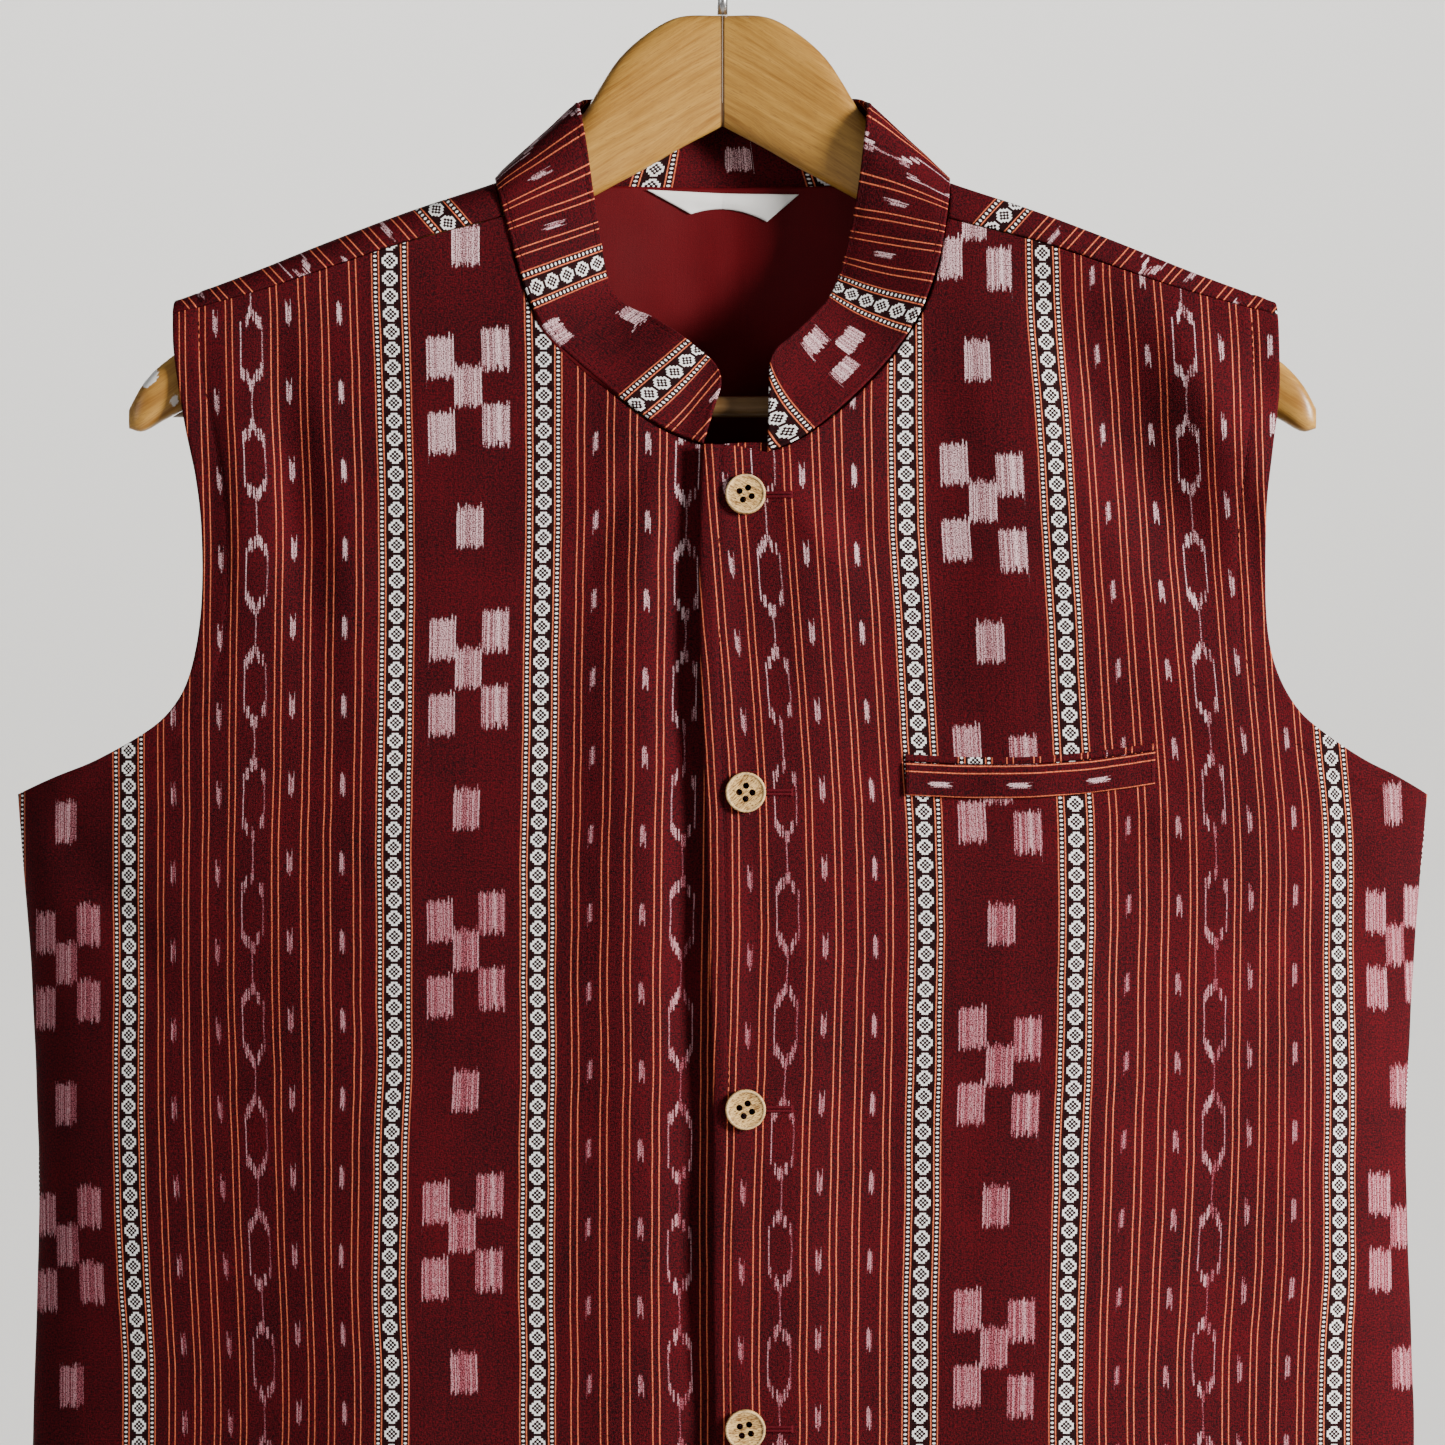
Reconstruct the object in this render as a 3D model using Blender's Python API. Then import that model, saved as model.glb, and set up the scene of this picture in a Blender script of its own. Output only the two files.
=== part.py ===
# A sleeveless stand-collar jacket in handloom cloth, buttoned, on a two-piece wooden hanger.
# +Z is up, -Y is the front, +X is the wearer's left. The origin is where the hook hangs,
# at the inside of its top. Tables and sizes are in millimetres and become metres in place().

import math

import bmesh
import bpy
from mathutils import Vector

MM = 0.001

# Cloth
CLOTH = 1.8
SEAM_GAP = 0.4
SEAT_GAP = 0.3

# Body sizes
HEM_Z = -851.0
UNDERARM_Z = -361.4
NECK_X = 86.5
TIP_X = 210.0
FRONT_DEPTH = 45.0
BACK_DEPTH = 37.0
SHOULDER_ROUND = 11.0
SWELL_DROP = 175.0

# Hanger sizes
ARM_THICK = 12.0
ARM_FORWARD = 0.125
BAR_RADIUS = 4.0
BAR_Z = -214.0
WIRE_RADIUS = 2.0
HOOK_RADIUS = 19.0

# Button lap
LAP_EDGE_X = -7.0
UNDER_EDGE_X = 19.0
LAP_LIFT = 1.6
UNDER_SINK = 0.6

# Buttons
BUTTON_X = 8.7
BUTTON_Z = (-248.7, -360.2, -479.3, -599.5, -718.6)
BUTTON_RADIUS = 7.6
BUTTON_HOLE_RADIUS = 1.0
BUTTON_HOLE_SPACING = 3.5

# Half width of the body by height: z, half_width
SIDE_LINE = (
    (-851.0, 274.0),
    (-720.0, 268.5),
    (-607.0, 265.5),
    (-500.0, 263.0),
    (-430.0, 265.5),
    (-361.4, 269.5),
    (-300.0, 271.0),
    (-120.0, 271.0),
)

# Height of the shoulder ridge by distance from the middle: x, z
SHOULDER_LINE = (
    (0.0, -99.0),
    (50.0, -113.5),
    (86.5, -127.4),
    (120.0, -139.0),
    (150.0, -150.8),
    (180.0, -163.2),
    (210.0, -174.5),
    (275.0, -197.0),
)

# How far the forward seam lies below the ridge: x, drop
FORWARD_SEAM = ((80.0, 15.0), (120.0, 12.0), (165.0, 9.5), (211.0, 4.6))

# Armhole edges from the tip of the shoulder to the underarm: x, z
ARMHOLE = {
    "right": (
        (208.4, -179.0),
        (207.6, -194.3),
        (203.4, -220.4),
        (198.8, -241.9),
        (196.5, -262.0),
        (196.2, -288.0),
        (198.8, -308.5),
        (204.0, -323.5),
        (214.0, -335.0),
        (236.6, -348.1),
        (254.0, -355.0),
        (269.5, -361.4),
    ),
    "left": (
        (210.4, -179.0),
        (210.6, -208.3),
        (207.4, -232.0),
        (204.7, -254.0),
        (204.3, -277.1),
        (206.0, -302.0),
        (210.2, -317.2),
        (217.7, -329.6),
        (227.9, -338.3),
        (243.1, -348.1),
        (256.0, -354.3),
        (269.5, -361.4),
    ),
}

# The neck seam and the top of the collar, from the front end to the ridge.
# Columns: seam_x, seam_z, top_x, top_z, back (how far the top lies behind the seam)
COLLAR = {
    "right": (
        (-7.2, -229.5, 1.6, -200.5, 11.0),
        (-19.3, -224.9, -8.0, -193.5, 12.0),
        (-31.4, -217.7, -16.5, -186.5, 13.0),
        (-43.5, -207.9, -25.5, -180.5, 15.0),
        (-56.7, -197.0, -35.5, -176.0, 17.0),
        (-67.3, -186.4, -42.0, -170.0, 17.0),
        (-73.3, -175.4, -45.0, -161.5, 15.0),
        (-78.2, -161.0, -47.0, -148.0, 11.0),
        (-82.4, -145.2, -49.5, -131.0, 5.5),
        (-85.2, -133.5, -52.0, -112.0, 1.5),
        (-86.5, -127.4, -54.5, -97.6, 0.5),
    ),
    "left": (
        (17.0, -232.5, 17.6, -192.0, 8.0),
        (28.0, -228.0, 21.5, -191.0, 9.0),
        (38.6, -220.6, 27.5, -186.0, 10.0),
        (51.8, -209.0, 35.5, -178.0, 12.0),
        (63.9, -195.8, 41.5, -170.5, 14.0),
        (71.1, -186.0, 44.8, -163.0, 15.0),
        (77.1, -175.4, 47.2, -154.5, 14.0),
        (82.6, -159.0, 50.0, -142.0, 10.0),
        (85.4, -144.5, 52.3, -127.0, 5.0),
        (86.4, -134.5, 54.0, -111.0, 1.5),
        (86.5, -127.4, 55.0, -97.9, 0.5),
    ),
}

# The back of the neck seam and of the collar's top, from the middle to the ridge.
# Columns: seam_x, seam_z, top_x, top_z, forward (how far the top lies before the seam)
COLLAR_BACK = (
    (0.0, -132.0, 0.0, -94.0, 0.0),
    (22.0, -132.0, 15.0, -94.0, 0.5),
    (45.0, -131.8, 30.0, -94.0, 1.0),
    (68.0, -131.0, 45.0, -94.3, 1.5),
    (80.5, -129.3, 51.5, -95.5, 1.0),
    (86.5, -127.4, 54.8, -97.7, -0.5),
)

# Upper and lower edge of a hanger arm, by distance from the middle: x, top_z, bottom_z
HANGER_ARM = (
    (0.15, -62.0, -104.7),
    (17.0, -62.9, -113.8),
    (29.0, -69.4, -121.0),
    (40.0, -79.5, -127.0),
    (47.5, -91.0, -131.2),
    (53.0, -100.2, -134.3),
    (68.0, -114.1, -143.2),
    (84.6, -130.0, -152.9),
    (120.0, -151.8, -173.8),
    (165.0, -178.5, -200.3),
    (203.0, -202.5, -222.7),
    (212.0, -208.6, -228.0),
    (218.5, -215.0, -231.2),
    (221.5, -221.5, -229.5),
)

# Large soft folds in the fronts. Columns: x, z, along_x, along_z, half_length, half_width, depth
FRONT_FOLDS = (
    (170.0, -228.0, 0.46, -0.89, 60.0, 13.0, -2.6),
    (186.0, -222.0, 0.46, -0.89, 50.0, 13.0, 1.6),
    (-161.0, -255.0, 0.20, -0.98, 45.0, 10.0, -1.6),
    (-180.0, -250.0, 0.10, -0.99, 50.0, 11.0, 1.2),
    (40.0, -300.0, 0.10, -0.99, 90.0, 16.0, 1.0),
    (-46.0, -330.0, -0.06, -0.99, 110.0, 14.0, -1.2),
    (-120.0, -620.0, 0.05, -0.99, 170.0, 34.0, 2.4),
    (-190.0, -650.0, 0.02, -0.99, 170.0, 30.0, -2.2),
    (110.0, -640.0, -0.05, -0.99, 170.0, 36.0, 2.2),
    (185.0, -640.0, -0.03, -0.99, 170.0, 30.0, -2.4),
)
BACK_FOLDS = (
    (-120.0, -600.0, 0.04, -0.99, 200.0, 36.0, 2.6),
    (-55.0, -640.0, 0.02, -0.99, 190.0, 30.0, -2.0),
    (30.0, -600.0, -0.02, -0.99, 210.0, 34.0, 2.4),
    (105.0, -640.0, -0.04, -0.99, 190.0, 32.0, -2.4),
    (150.0, -260.0, 0.30, -0.95, 60.0, 18.0, -1.8),
    (-150.0, -260.0, -0.30, -0.95, 60.0, 18.0, -1.8),
)


# Small helpers


def clear_scene():
    for found in list(bpy.data.objects):
        bpy.data.objects.remove(found, do_unlink=True)


def mix(first, second, share):
    return first + (second - first) * share


def smoothstep(share):
    share = min(max(share, 0.0), 1.0)
    return share * share * (3.0 - 2.0 * share)


def read_off(table, at, column=1):
    """Smooth cubic reading of a table whose first column rises."""
    last = len(table) - 1
    span = 0
    while span < last - 1 and at > table[span + 1][0]:
        span += 1

    def slope(index):
        low, high = max(index - 1, 0), min(index + 1, last)
        return (table[high][column] - table[low][column]) / (table[high][0] - table[low][0])

    start, end = table[span], table[span + 1]
    width = end[0] - start[0]
    share = (at - start[0]) / width
    if share < 0.0 or share > 1.0:
        edge = span if share < 0.0 else span + 1
        return table[edge][column] + slope(edge) * (at - table[edge][0])
    square, cube = share * share, share * share * share
    return (
        start[column] * (2.0 * cube - 3.0 * square + 1.0)
        + end[column] * (3.0 * square - 2.0 * cube)
        + slope(span) * width * (cube - 2.0 * square + share)
        + slope(span + 1) * width * (cube - square)
    )


def along(points, share):
    """A point at a share of the length of a smooth curve through the given tuples."""
    lengths = [0.0]
    for first, second in zip(points, points[1:]):
        lengths.append(lengths[-1] + math.dist(first[:2], second[:2]))
    table = [(length / lengths[-1], *point) for length, point in zip(lengths, points)]
    return tuple(read_off(table, share, column + 1) for column in range(len(points[0])))


def place(x, y, z):
    return Vector((x, y, z)) * MM


def material(name, colour, roughness, metallic=0.0):
    made = bpy.data.materials.new(name)
    made.use_nodes = True
    shader = made.node_tree.nodes["Principled BSDF"]
    shader.inputs["Base Color"].default_value = (*colour, 1.0)
    shader.inputs["Roughness"].default_value = roughness
    shader.inputs["Metallic"].default_value = metallic
    made.diffuse_color = (*colour, 1.0)
    return made


def add_object(name, bm, surface):
    bmesh.ops.recalc_face_normals(bm, faces=bm.faces)
    if bm.calc_volume(signed=True) < 0.0:
        bmesh.ops.reverse_faces(bm, faces=bm.faces)
    mesh = bpy.data.meshes.new(name)
    bm.to_mesh(mesh)
    bm.free()
    mesh.materials.append(surface)
    mesh.shade_smooth()
    mesh.set_sharp_from_angle(angle=math.radians(40.0))
    made = bpy.data.objects.new(name, mesh)
    bpy.context.collection.objects.link(made)
    return made


# The form of the hanging cloth


def shoulder_height(x):
    return read_off(SHOULDER_LINE, abs(x))


def fold_height(folds, x, z):
    total = 0.0
    for fold_x, fold_z, along_x, along_z, half_length, half_width, depth in folds:
        run = (x - fold_x) * along_x + (z - fold_z) * along_z
        across = (x - fold_x) * along_z - (z - fold_z) * along_x
        total += depth * math.exp(-((run / half_length) ** 2) - (across / half_width) ** 2)
    return total


def middle(front, x, z):
    """The surface between front and back: over the arms of the hanger, then hanging straight."""
    drop = shoulder_height(x) - z
    forward = -ARM_FORWARD * math.sqrt(x * x + 100.0)
    hang = 1.0 - smoothstep((drop - 50.0) / 210.0)
    edge = max(1.0 - (x / read_off(SIDE_LINE, z)) ** 2, 0.0)
    fade = smoothstep(drop / 40.0) * smoothstep(edge / 0.3)
    if front:
        return forward * hang - fold_height(FRONT_FOLDS, x, z) * fade
    return forward * hang + fold_height(BACK_FOLDS, x, z) * fade


def depth_squared(front, x, z):
    """Squared distance of the cloth from the middle surface."""
    drop = shoulder_height(x) - z
    turned = min(drop, SHOULDER_ROUND)
    round_squared = 2.0 * SHOULDER_ROUND * turned - turned * turned
    depth = FRONT_DEPTH if front else BACK_DEPTH
    swell = (depth - SHOULDER_ROUND) * smoothstep(drop / SWELL_DROP)
    edge = 1.0 - (x / read_off(SIDE_LINE, z)) ** 2
    straight = math.sqrt(max(round_squared, 0.0))
    return edge * (round_squared + 2.0 * straight * swell + swell * swell)


def cloth_point(front, x, z):
    depth = math.sqrt(max(depth_squared(front, x, z), 0.0))
    return Vector((x, middle(front, x, z) + (-depth if front else depth), z))


def cloth_normal(front, x, z):
    """Outward direction, from the slope of (y - middle)^2 - depth^2, which is smooth at the ridge too."""
    step = 0.05
    offset = cloth_point(front, x, z).y - middle(front, x, z)

    def slope(step_x, step_z):
        ahead, behind = (x + step_x, z + step_z), (x - step_x, z - step_z)
        middle_slope = (middle(front, *ahead) - middle(front, *behind)) / (2.0 * step)
        depth_slope = (depth_squared(front, *ahead) - depth_squared(front, *behind)) / (2.0 * step)
        return -2.0 * offset * middle_slope - depth_slope

    return Vector((slope(step, 0.0), 2.0 * offset, slope(0.0, step))).normalized()


def cloth_pair(front, x, z, lift=0.0, thickness=CLOTH):
    """Outer and inner points of a wall whose outer face is lifted off the form by lift."""
    outward = cloth_normal(front, x, z)
    base = cloth_point(front, x, z)
    return base + outward * lift, base + outward * (lift - thickness)


def wall(name, columns, rows, pair_at, surface, keep=None):
    """A closed wall over a grid: pair_at(column, row) gives its outer and inner points."""
    bm = bmesh.new()
    bmesh.ops.create_grid(bm, x_segments=columns, y_segments=rows, size=1.0)
    inner_at = bm.verts.layers.float_vector.new("inner")
    cells = {}
    for face in bm.faces:
        centre = face.calc_center_median()
        cell = (int((centre.x + 1.0) * columns / 2.0), int((centre.y + 1.0) * rows / 2.0))
        cells[face] = cell
    for vert in bm.verts:
        column = round((vert.co.x + 1.0) * columns / 2.0)
        row = round((vert.co.y + 1.0) * rows / 2.0)
        outer, inner = pair_at(column, row)
        vert.co = outer * MM
        vert[inner_at] = inner * MM
    if keep is not None:
        dropped = [face for face, cell in cells.items() if not keep(*cell)]
        bmesh.ops.delete(bm, geom=dropped, context="FACES")
    faces = list(bm.faces)
    made = bmesh.ops.extrude_face_region(bm, geom=faces)
    for item in made["geom"]:
        if isinstance(item, bmesh.types.BMVert):
            item.co = item[inner_at]
    return add_object(name, bm, surface)


# Fronts

NECK_ROWS = 8
ARMHOLE_ROWS = 5
SIDE_ROWS = 14
LAP_COLUMNS = 2
FRONT_COLUMNS = 13
FRONT_ROWS = NECK_ROWS + ARMHOLE_ROWS + SIDE_ROWS
ARMHOLE_SPLIT = 0.50


def forward_seam_drop(x):
    return read_off(FORWARD_SEAM, abs(x))


def side_x(z):
    """Where a front or back panel stops, half a seam gap short of the side line."""
    short = 0.5 * SEAM_GAP / BACK_DEPTH
    return read_off(SIDE_LINE, z) * math.sqrt(1.0 - short * short)


def neck_station(side, share):
    """Seam and top values of the collar's table, by share from the front end to the ridge."""
    return along(COLLAR[side], share)


def wrap_height(x, reach, gap=0.0):
    """Height on the shoulder's front slope: reach 0 at the ridge, 1 at the forward seam."""
    return shoulder_height(x) - forward_seam_drop(x) * reach * reach - gap


def neck_share_at(side, reach, gap=0.0):
    """The share of the neck line, front end to ridge, where it meets that height."""
    low, high = 0.0, 1.0
    for _ in range(30):
        tried = (low + high) / 2.0
        station = neck_station(side, tried)
        if station[1] < wrap_height(station[0], reach, gap):
            low = tried
        else:
            high = tried
    return (low + high) / 2.0


def front_seam_share(side):
    return neck_share_at(side, 1.0, SEAM_GAP)


def front_edges(side, row):
    """The two ends of a row of a front panel, as distances from the middle and heights."""
    hole = ARMHOLE[side]
    lap_x, lap_z = abs(COLLAR[side][0][0]), COLLAR[side][0][1]
    if row <= NECK_ROWS:
        share = row / NECK_ROWS
        station = neck_station(side, mix(front_seam_share(side), 0.0, share))
        near = (abs(station[0]), station[1])
        far = along(hole, ARMHOLE_SPLIT * (0.75 * share + 0.25 * share * share))
    elif row <= NECK_ROWS + ARMHOLE_ROWS:
        share = (row - NECK_ROWS) / ARMHOLE_ROWS
        near = (lap_x, mix(lap_z, UNDERARM_Z, share))
        far = along(hole, mix(ARMHOLE_SPLIT, 1.0, share))
    else:
        share = (row - NECK_ROWS - ARMHOLE_ROWS) / SIDE_ROWS
        level = mix(UNDERARM_Z, HEM_Z, share)
        near = (lap_x, level)
        far = (side_x(level), level)
    if row == NECK_ROWS + ARMHOLE_ROWS:
        far = (side_x(UNDERARM_Z), UNDERARM_Z)
    return near, far


def front_grid(side, column, row, lap_edge, lap_top):
    """x (outward from the middle) and z of a point of a front's grid."""
    (near_x, near_z), (far_x, far_z) = front_edges(side, row)
    if column < LAP_COLUMNS:
        share = column / LAP_COLUMNS
        x = mix(lap_edge, near_x, share)
        if row <= NECK_ROWS:
            return x, mix(lap_top, near_z, share * share * share)
        return x, near_z
    step = (column - LAP_COLUMNS) / (FRONT_COLUMNS - LAP_COLUMNS)
    half = read_off(SIDE_LINE, mix(near_z, far_z, step))
    near_turn = math.asin(min(near_x / half, 1.0))
    far_turn = math.asin(min(far_x / half, 1.0))
    reach_near, reach_far = math.sin(near_turn), math.sin(far_turn)
    reach = math.sin(mix(near_turn, far_turn, step))
    share = (reach - reach_near) / (reach_far - reach_near)
    x = mix(near_x, far_x, share)
    z = mix(near_z, far_z, share)
    if row == 0:
        z = wrap_height(x, 1.0, SEAM_GAP)
    return x, z


def left_lift(x):
    return LAP_LIFT * (1.0 - smoothstep((x - 26.0) / 26.0))


def right_lift(x):
    return -UNDER_SINK * smoothstep((x + 26.0) / 14.0)


def front_panel(name, side, surface):
    sign = 1.0 if side == "left" else -1.0
    lap_edge = sign * (LAP_EDGE_X if side == "left" else UNDER_EDGE_X)
    lap_top = -229.9 if side == "left" else -228.2
    lift_at = left_lift if side == "left" else right_lift

    def pair_at(column, row):
        x, z = front_grid(side, column, row, lap_edge, lap_top)
        if row == NECK_ROWS and column == 0:
            z -= 0.8
        return cloth_pair(True, sign * x, z, lift_at(sign * x))

    def keep(column, row):
        return column >= LAP_COLUMNS or row >= NECK_ROWS

    return wall(name, FRONT_COLUMNS, FRONT_ROWS, pair_at, surface, keep)


# Back

WRAP_ROWS = 3
BACK_RIDGE_ROWS = 3
BACK_HOLE_ROWS = 9
BACK_NECK_COLUMNS = 6
BACK_HALF_COLUMNS = 13
BACK_ROWS = WRAP_ROWS + BACK_RIDGE_ROWS + BACK_HOLE_ROWS + SIDE_ROWS
RIDGE_DROPS = (0.0, 2.8, 11.0, 24.0)


def back_top(x):
    """The upper edge of the back: neck seam inside NECK_X, ridge outside."""
    if abs(x) >= NECK_X:
        return shoulder_height(x)
    return read_off(COLLAR_BACK, abs(x))


def back_hole(side):
    """The back's armhole edge: as the front's at both ends, and a little inside it between."""
    tip_x = ARMHOLE[side][0][0]
    rows = [(tip_x, shoulder_height(tip_x))]
    for x, z in ARMHOLE[side]:
        share = (z - UNDERARM_Z) / (shoulder_height(TIP_X) - UNDERARM_Z)
        inside = 3.0 * smoothstep(4.0 * share) * smoothstep(4.0 * (1.0 - share))
        raised = 3.5 * smoothstep(6.0 * share) * (1.0 - smoothstep((share - 0.2) / 0.2))
        rows.append((x - inside, z + raised))
    return rows


def top_share(column):
    """Share of the shoulder's width at a column of the back's top row."""
    if column <= BACK_NECK_COLUMNS:
        return math.sin(0.5 * math.pi * column / BACK_NECK_COLUMNS) * NECK_X / TIP_X
    step = (column - BACK_NECK_COLUMNS) / (BACK_HALF_COLUMNS - BACK_NECK_COLUMNS)
    return mix(NECK_X / TIP_X, 1.0, step)


def back_grid(side, column, row):
    """x and z of a point of the back's grid, for one half; rows run from the forward seam to the hem."""
    tip_x = ARMHOLE[side][0][0]
    level = row - WRAP_ROWS
    if level <= 0:
        x = tip_x * top_share(column)
        if column <= BACK_NECK_COLUMNS:
            x = TIP_X * top_share(column)
        if column < BACK_NECK_COLUMNS:
            return x, back_top(x)
        reach = -level / WRAP_ROWS
        if column == BACK_NECK_COLUMNS and level < 0:
            x = abs(neck_station(side, neck_share_at(side, reach))[0])
        return x, wrap_height(x, reach)
    hole = back_hole(side)
    centre_top = back_top(0.0)
    if level <= BACK_RIDGE_ROWS:
        drop = RIDGE_DROPS[level]
        near_z = centre_top - drop
        far_z = hole[0][1] - drop
        far_x = read_off([(-z, x) for x, z in hole], -far_z)
        turn = 0.0
    elif level <= BACK_RIDGE_ROWS + BACK_HOLE_ROWS:
        turn = (level - BACK_RIDGE_ROWS) / BACK_HOLE_ROWS
        near_z = mix(centre_top - RIDGE_DROPS[-1], UNDERARM_Z, turn)
        start = RIDGE_DROPS[-1] / 230.0
        far_x, far_z = along(hole, mix(start, 1.0, turn))
    else:
        turn = 1.0
        near_z = mix(UNDERARM_Z, HEM_Z, (level - BACK_RIDGE_ROWS - BACK_HOLE_ROWS) / SIDE_ROWS)
        far_x, far_z = side_x(near_z), near_z
    if level == BACK_RIDGE_ROWS + BACK_HOLE_ROWS:
        far_x, far_z = side_x(UNDERARM_Z), UNDERARM_Z
    blend = smoothstep(turn)
    far_turn = math.asin(min(far_x / read_off(SIDE_LINE, far_z), 1.0))
    round_share = math.sin(far_turn * column / BACK_HALF_COLUMNS) / math.sin(far_turn)
    share = mix(top_share(column), round_share, blend)
    x = far_x * share
    top_x = tip_x * share
    edge = (back_top(top_x) - centre_top) / (back_top(tip_x) - centre_top)
    shape = mix(edge, share, blend)
    return x, near_z + (far_z - near_z) * shape


def back_panel(name, surface):
    def pair_at(column, row):
        index = column - BACK_HALF_COLUMNS
        side = "left" if index >= 0 else "right"
        x, z = back_grid(side, abs(index), row)
        if index < 0:
            x = -x
        return cloth_pair(row < WRAP_ROWS, x, z)

    def keep(column, row):
        index = column - BACK_HALF_COLUMNS
        inner = index if index >= 0 else -index - 1
        return row >= WRAP_ROWS or inner >= BACK_NECK_COLUMNS

    return wall(name, 2 * BACK_HALF_COLUMNS, BACK_ROWS, pair_at, surface, keep)


# Collar


def collar_half(side):
    """Stations from a front end to the middle of the back, on the panels' own neck edges."""
    sign = 1.0 if side == "left" else -1.0
    stations = []
    for row in range(NECK_ROWS, -1, -1):
        share = mix(front_seam_share(side), 0.0, row / NECK_ROWS)
        stations.append(collar_station(True, *neck_station(side, share)))
    for row in range(0, WRAP_ROWS):
        x, z = back_grid(side, BACK_NECK_COLUMNS, row)
        top = neck_station(side, neck_share_at(side, (WRAP_ROWS - row) / WRAP_ROWS))[2:]
        stations.append(collar_station(True, sign * x, z, *top))
    for column in range(BACK_NECK_COLUMNS, -1, -1):
        x, z = back_grid(side, column, WRAP_ROWS)
        top_x, top_z, forward = (read_off(COLLAR_BACK, x, index) for index in (2, 3, 4))
        stations.append(collar_station(False, sign * x, z, sign * top_x, top_z, -forward))
    start = [stations[0].lerp(stations[1], share) for share in COLLAR_END_SHARES]
    return start + stations[1:]


def collar_station(front, seam_x, seam_z, top_x, top_z, back):
    seam = cloth_point(front, seam_x, seam_z)
    return Station(seam, Vector((top_x, seam.y + back, top_z)))


class Station:
    """A ruling of the collar band, from its seam to its top."""

    def __init__(self, seam, top):
        self.seam = seam
        self.top = top

    def lerp(self, other, share):
        return Station(self.seam.lerp(other.seam, share), self.top.lerp(other.top, share))

    def at(self, up):
        return self.seam.lerp(self.top, up)


COLLAR_ACROSS = 3
COLLAR_END_ROUND = 9.0
COLLAR_END_SHARES = (0.0, 0.08, 0.25, 0.55)


def collar(name, surface):
    right, left = collar_half("right"), collar_half("left")
    stations = right + left[-2::-1]
    steps = len(stations) - 1

    def corner_height(index):
        """How much of the full height a rounded end leaves."""
        end = stations[0] if index < steps / 2 else stations[-1]
        from_end = (stations[index].seam - end.seam).length
        if from_end >= COLLAR_END_ROUND:
            return 1.0
        lost = COLLAR_END_ROUND - math.sqrt(COLLAR_END_ROUND**2 - (COLLAR_END_ROUND - from_end) ** 2)
        return 1.0 - 0.9 * lost / (end.top - end.seam).length

    def pair_at(column, row):
        station = stations[column]
        ahead, behind = stations[min(column + 1, steps)], stations[max(column - 1, 0)]
        rise = station.top - station.seam
        base = SEAM_GAP / rise.length
        up = mix(base, corner_height(column), row / COLLAR_ACROSS)
        run = (ahead.at(up) - station.at(up)).normalized() + (station.at(up) - behind.at(up)).normalized()
        outward = run.cross(rise).normalized()
        outer = station.at(up)
        return outer, outer - outward * CLOTH

    return wall(name, steps, COLLAR_ACROSS, pair_at, surface)


# Lining and label inside the back of the neck

LINING = 1.0
LINING_GAP = 1.1
LINING_HALF_WIDTH = 112.0
LINING_LOW_Z = -300.0
LINING_COLUMNS = 12
LINING_ROWS = 8
LABEL = 0.6
LABEL_HALF_TOP = 30.8
LABEL_HALF_LOW = 15.0
LABEL_TOP_Z = -130.4
LABEL_HEIGHT = 13.0


def back_lining(name, surface):
    def pair_at(column, row):
        across = 2.0 * column / LINING_COLUMNS - 1.0
        x = LINING_HALF_WIDTH * across
        top_z = min(back_top(x) - 1.5, shoulder_height(x) - 15.0)
        z = mix(top_z, LINING_LOW_Z, (row / LINING_ROWS) ** 1.3)
        return cloth_pair(False, x, z, -CLOTH - LINING_GAP, LINING)

    return wall(name, LINING_COLUMNS, LINING_ROWS, pair_at, surface)


def neck_label(name, surface):
    columns, rows = 8, 3

    def pair_at(column, row):
        across = 2.0 * column / columns - 1.0
        down = row / rows
        half = mix(LABEL_HALF_TOP, LABEL_HALF_LOW, down)
        x = half * across
        z = LABEL_TOP_Z - LABEL_HEIGHT * down * (0.75 + 0.25 * (1.0 - across * across))
        bulge = 0.8 * (1.0 - across * across) * math.sin(math.pi * down)
        lift = -CLOTH - LINING_GAP - LINING - SEAM_GAP - bulge
        return cloth_pair(False, x, z, lift, LABEL)

    return wall(name, columns, rows, pair_at, surface)


# Breast pocket

WELT = 1.6
WELT_LEFT_X = 68.8
WELT_RIGHT_X = 162.9
WELT_HEIGHT = 12.4
FACING = 0.7
FACING_HEIGHT = 2.6


def welt_top(x):
    """The welt's upper edge rises to the outer end and sags in the middle."""
    share = (x - WELT_LEFT_X) / (WELT_RIGHT_X - WELT_LEFT_X)
    return mix(-348.9, -344.7, share) - 3.0 * math.sin(math.pi * share)


def pocket_strip(name, surface, top_at, height, lift, thickness):
    columns, rows = 10, 2

    def pair_at(column, row):
        x = mix(WELT_LEFT_X, WELT_RIGHT_X, column / columns)
        z = top_at(x) - height * row / rows
        return cloth_pair(True, x, z, left_lift(x) + lift + thickness, thickness)

    return wall(name, columns, rows, pair_at, surface)


def pocket(welt_surface):
    pocket_strip("pocket_welt", welt_surface, welt_top, WELT_HEIGHT, SEAM_GAP, WELT)

    def facing_top(x):
        return welt_top(x) + FACING_HEIGHT + SEAM_GAP

    pocket_strip("pocket_facing", welt_surface, facing_top, FACING_HEIGHT, SEAM_GAP, FACING)


# Buttons

BUTTON_SIDES = 16
# Turned profile of a button: radius, height
BUTTON_PROFILE = (
    (BUTTON_RADIUS - 0.7, 0.0),
    (BUTTON_RADIUS, 0.6),
    (BUTTON_RADIUS, 2.6),
    (BUTTON_RADIUS - 0.4, 3.0),
    (BUTTON_RADIUS - 1.0, 3.0),
    (BUTTON_RADIUS - 1.4, 2.5),
)


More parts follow.
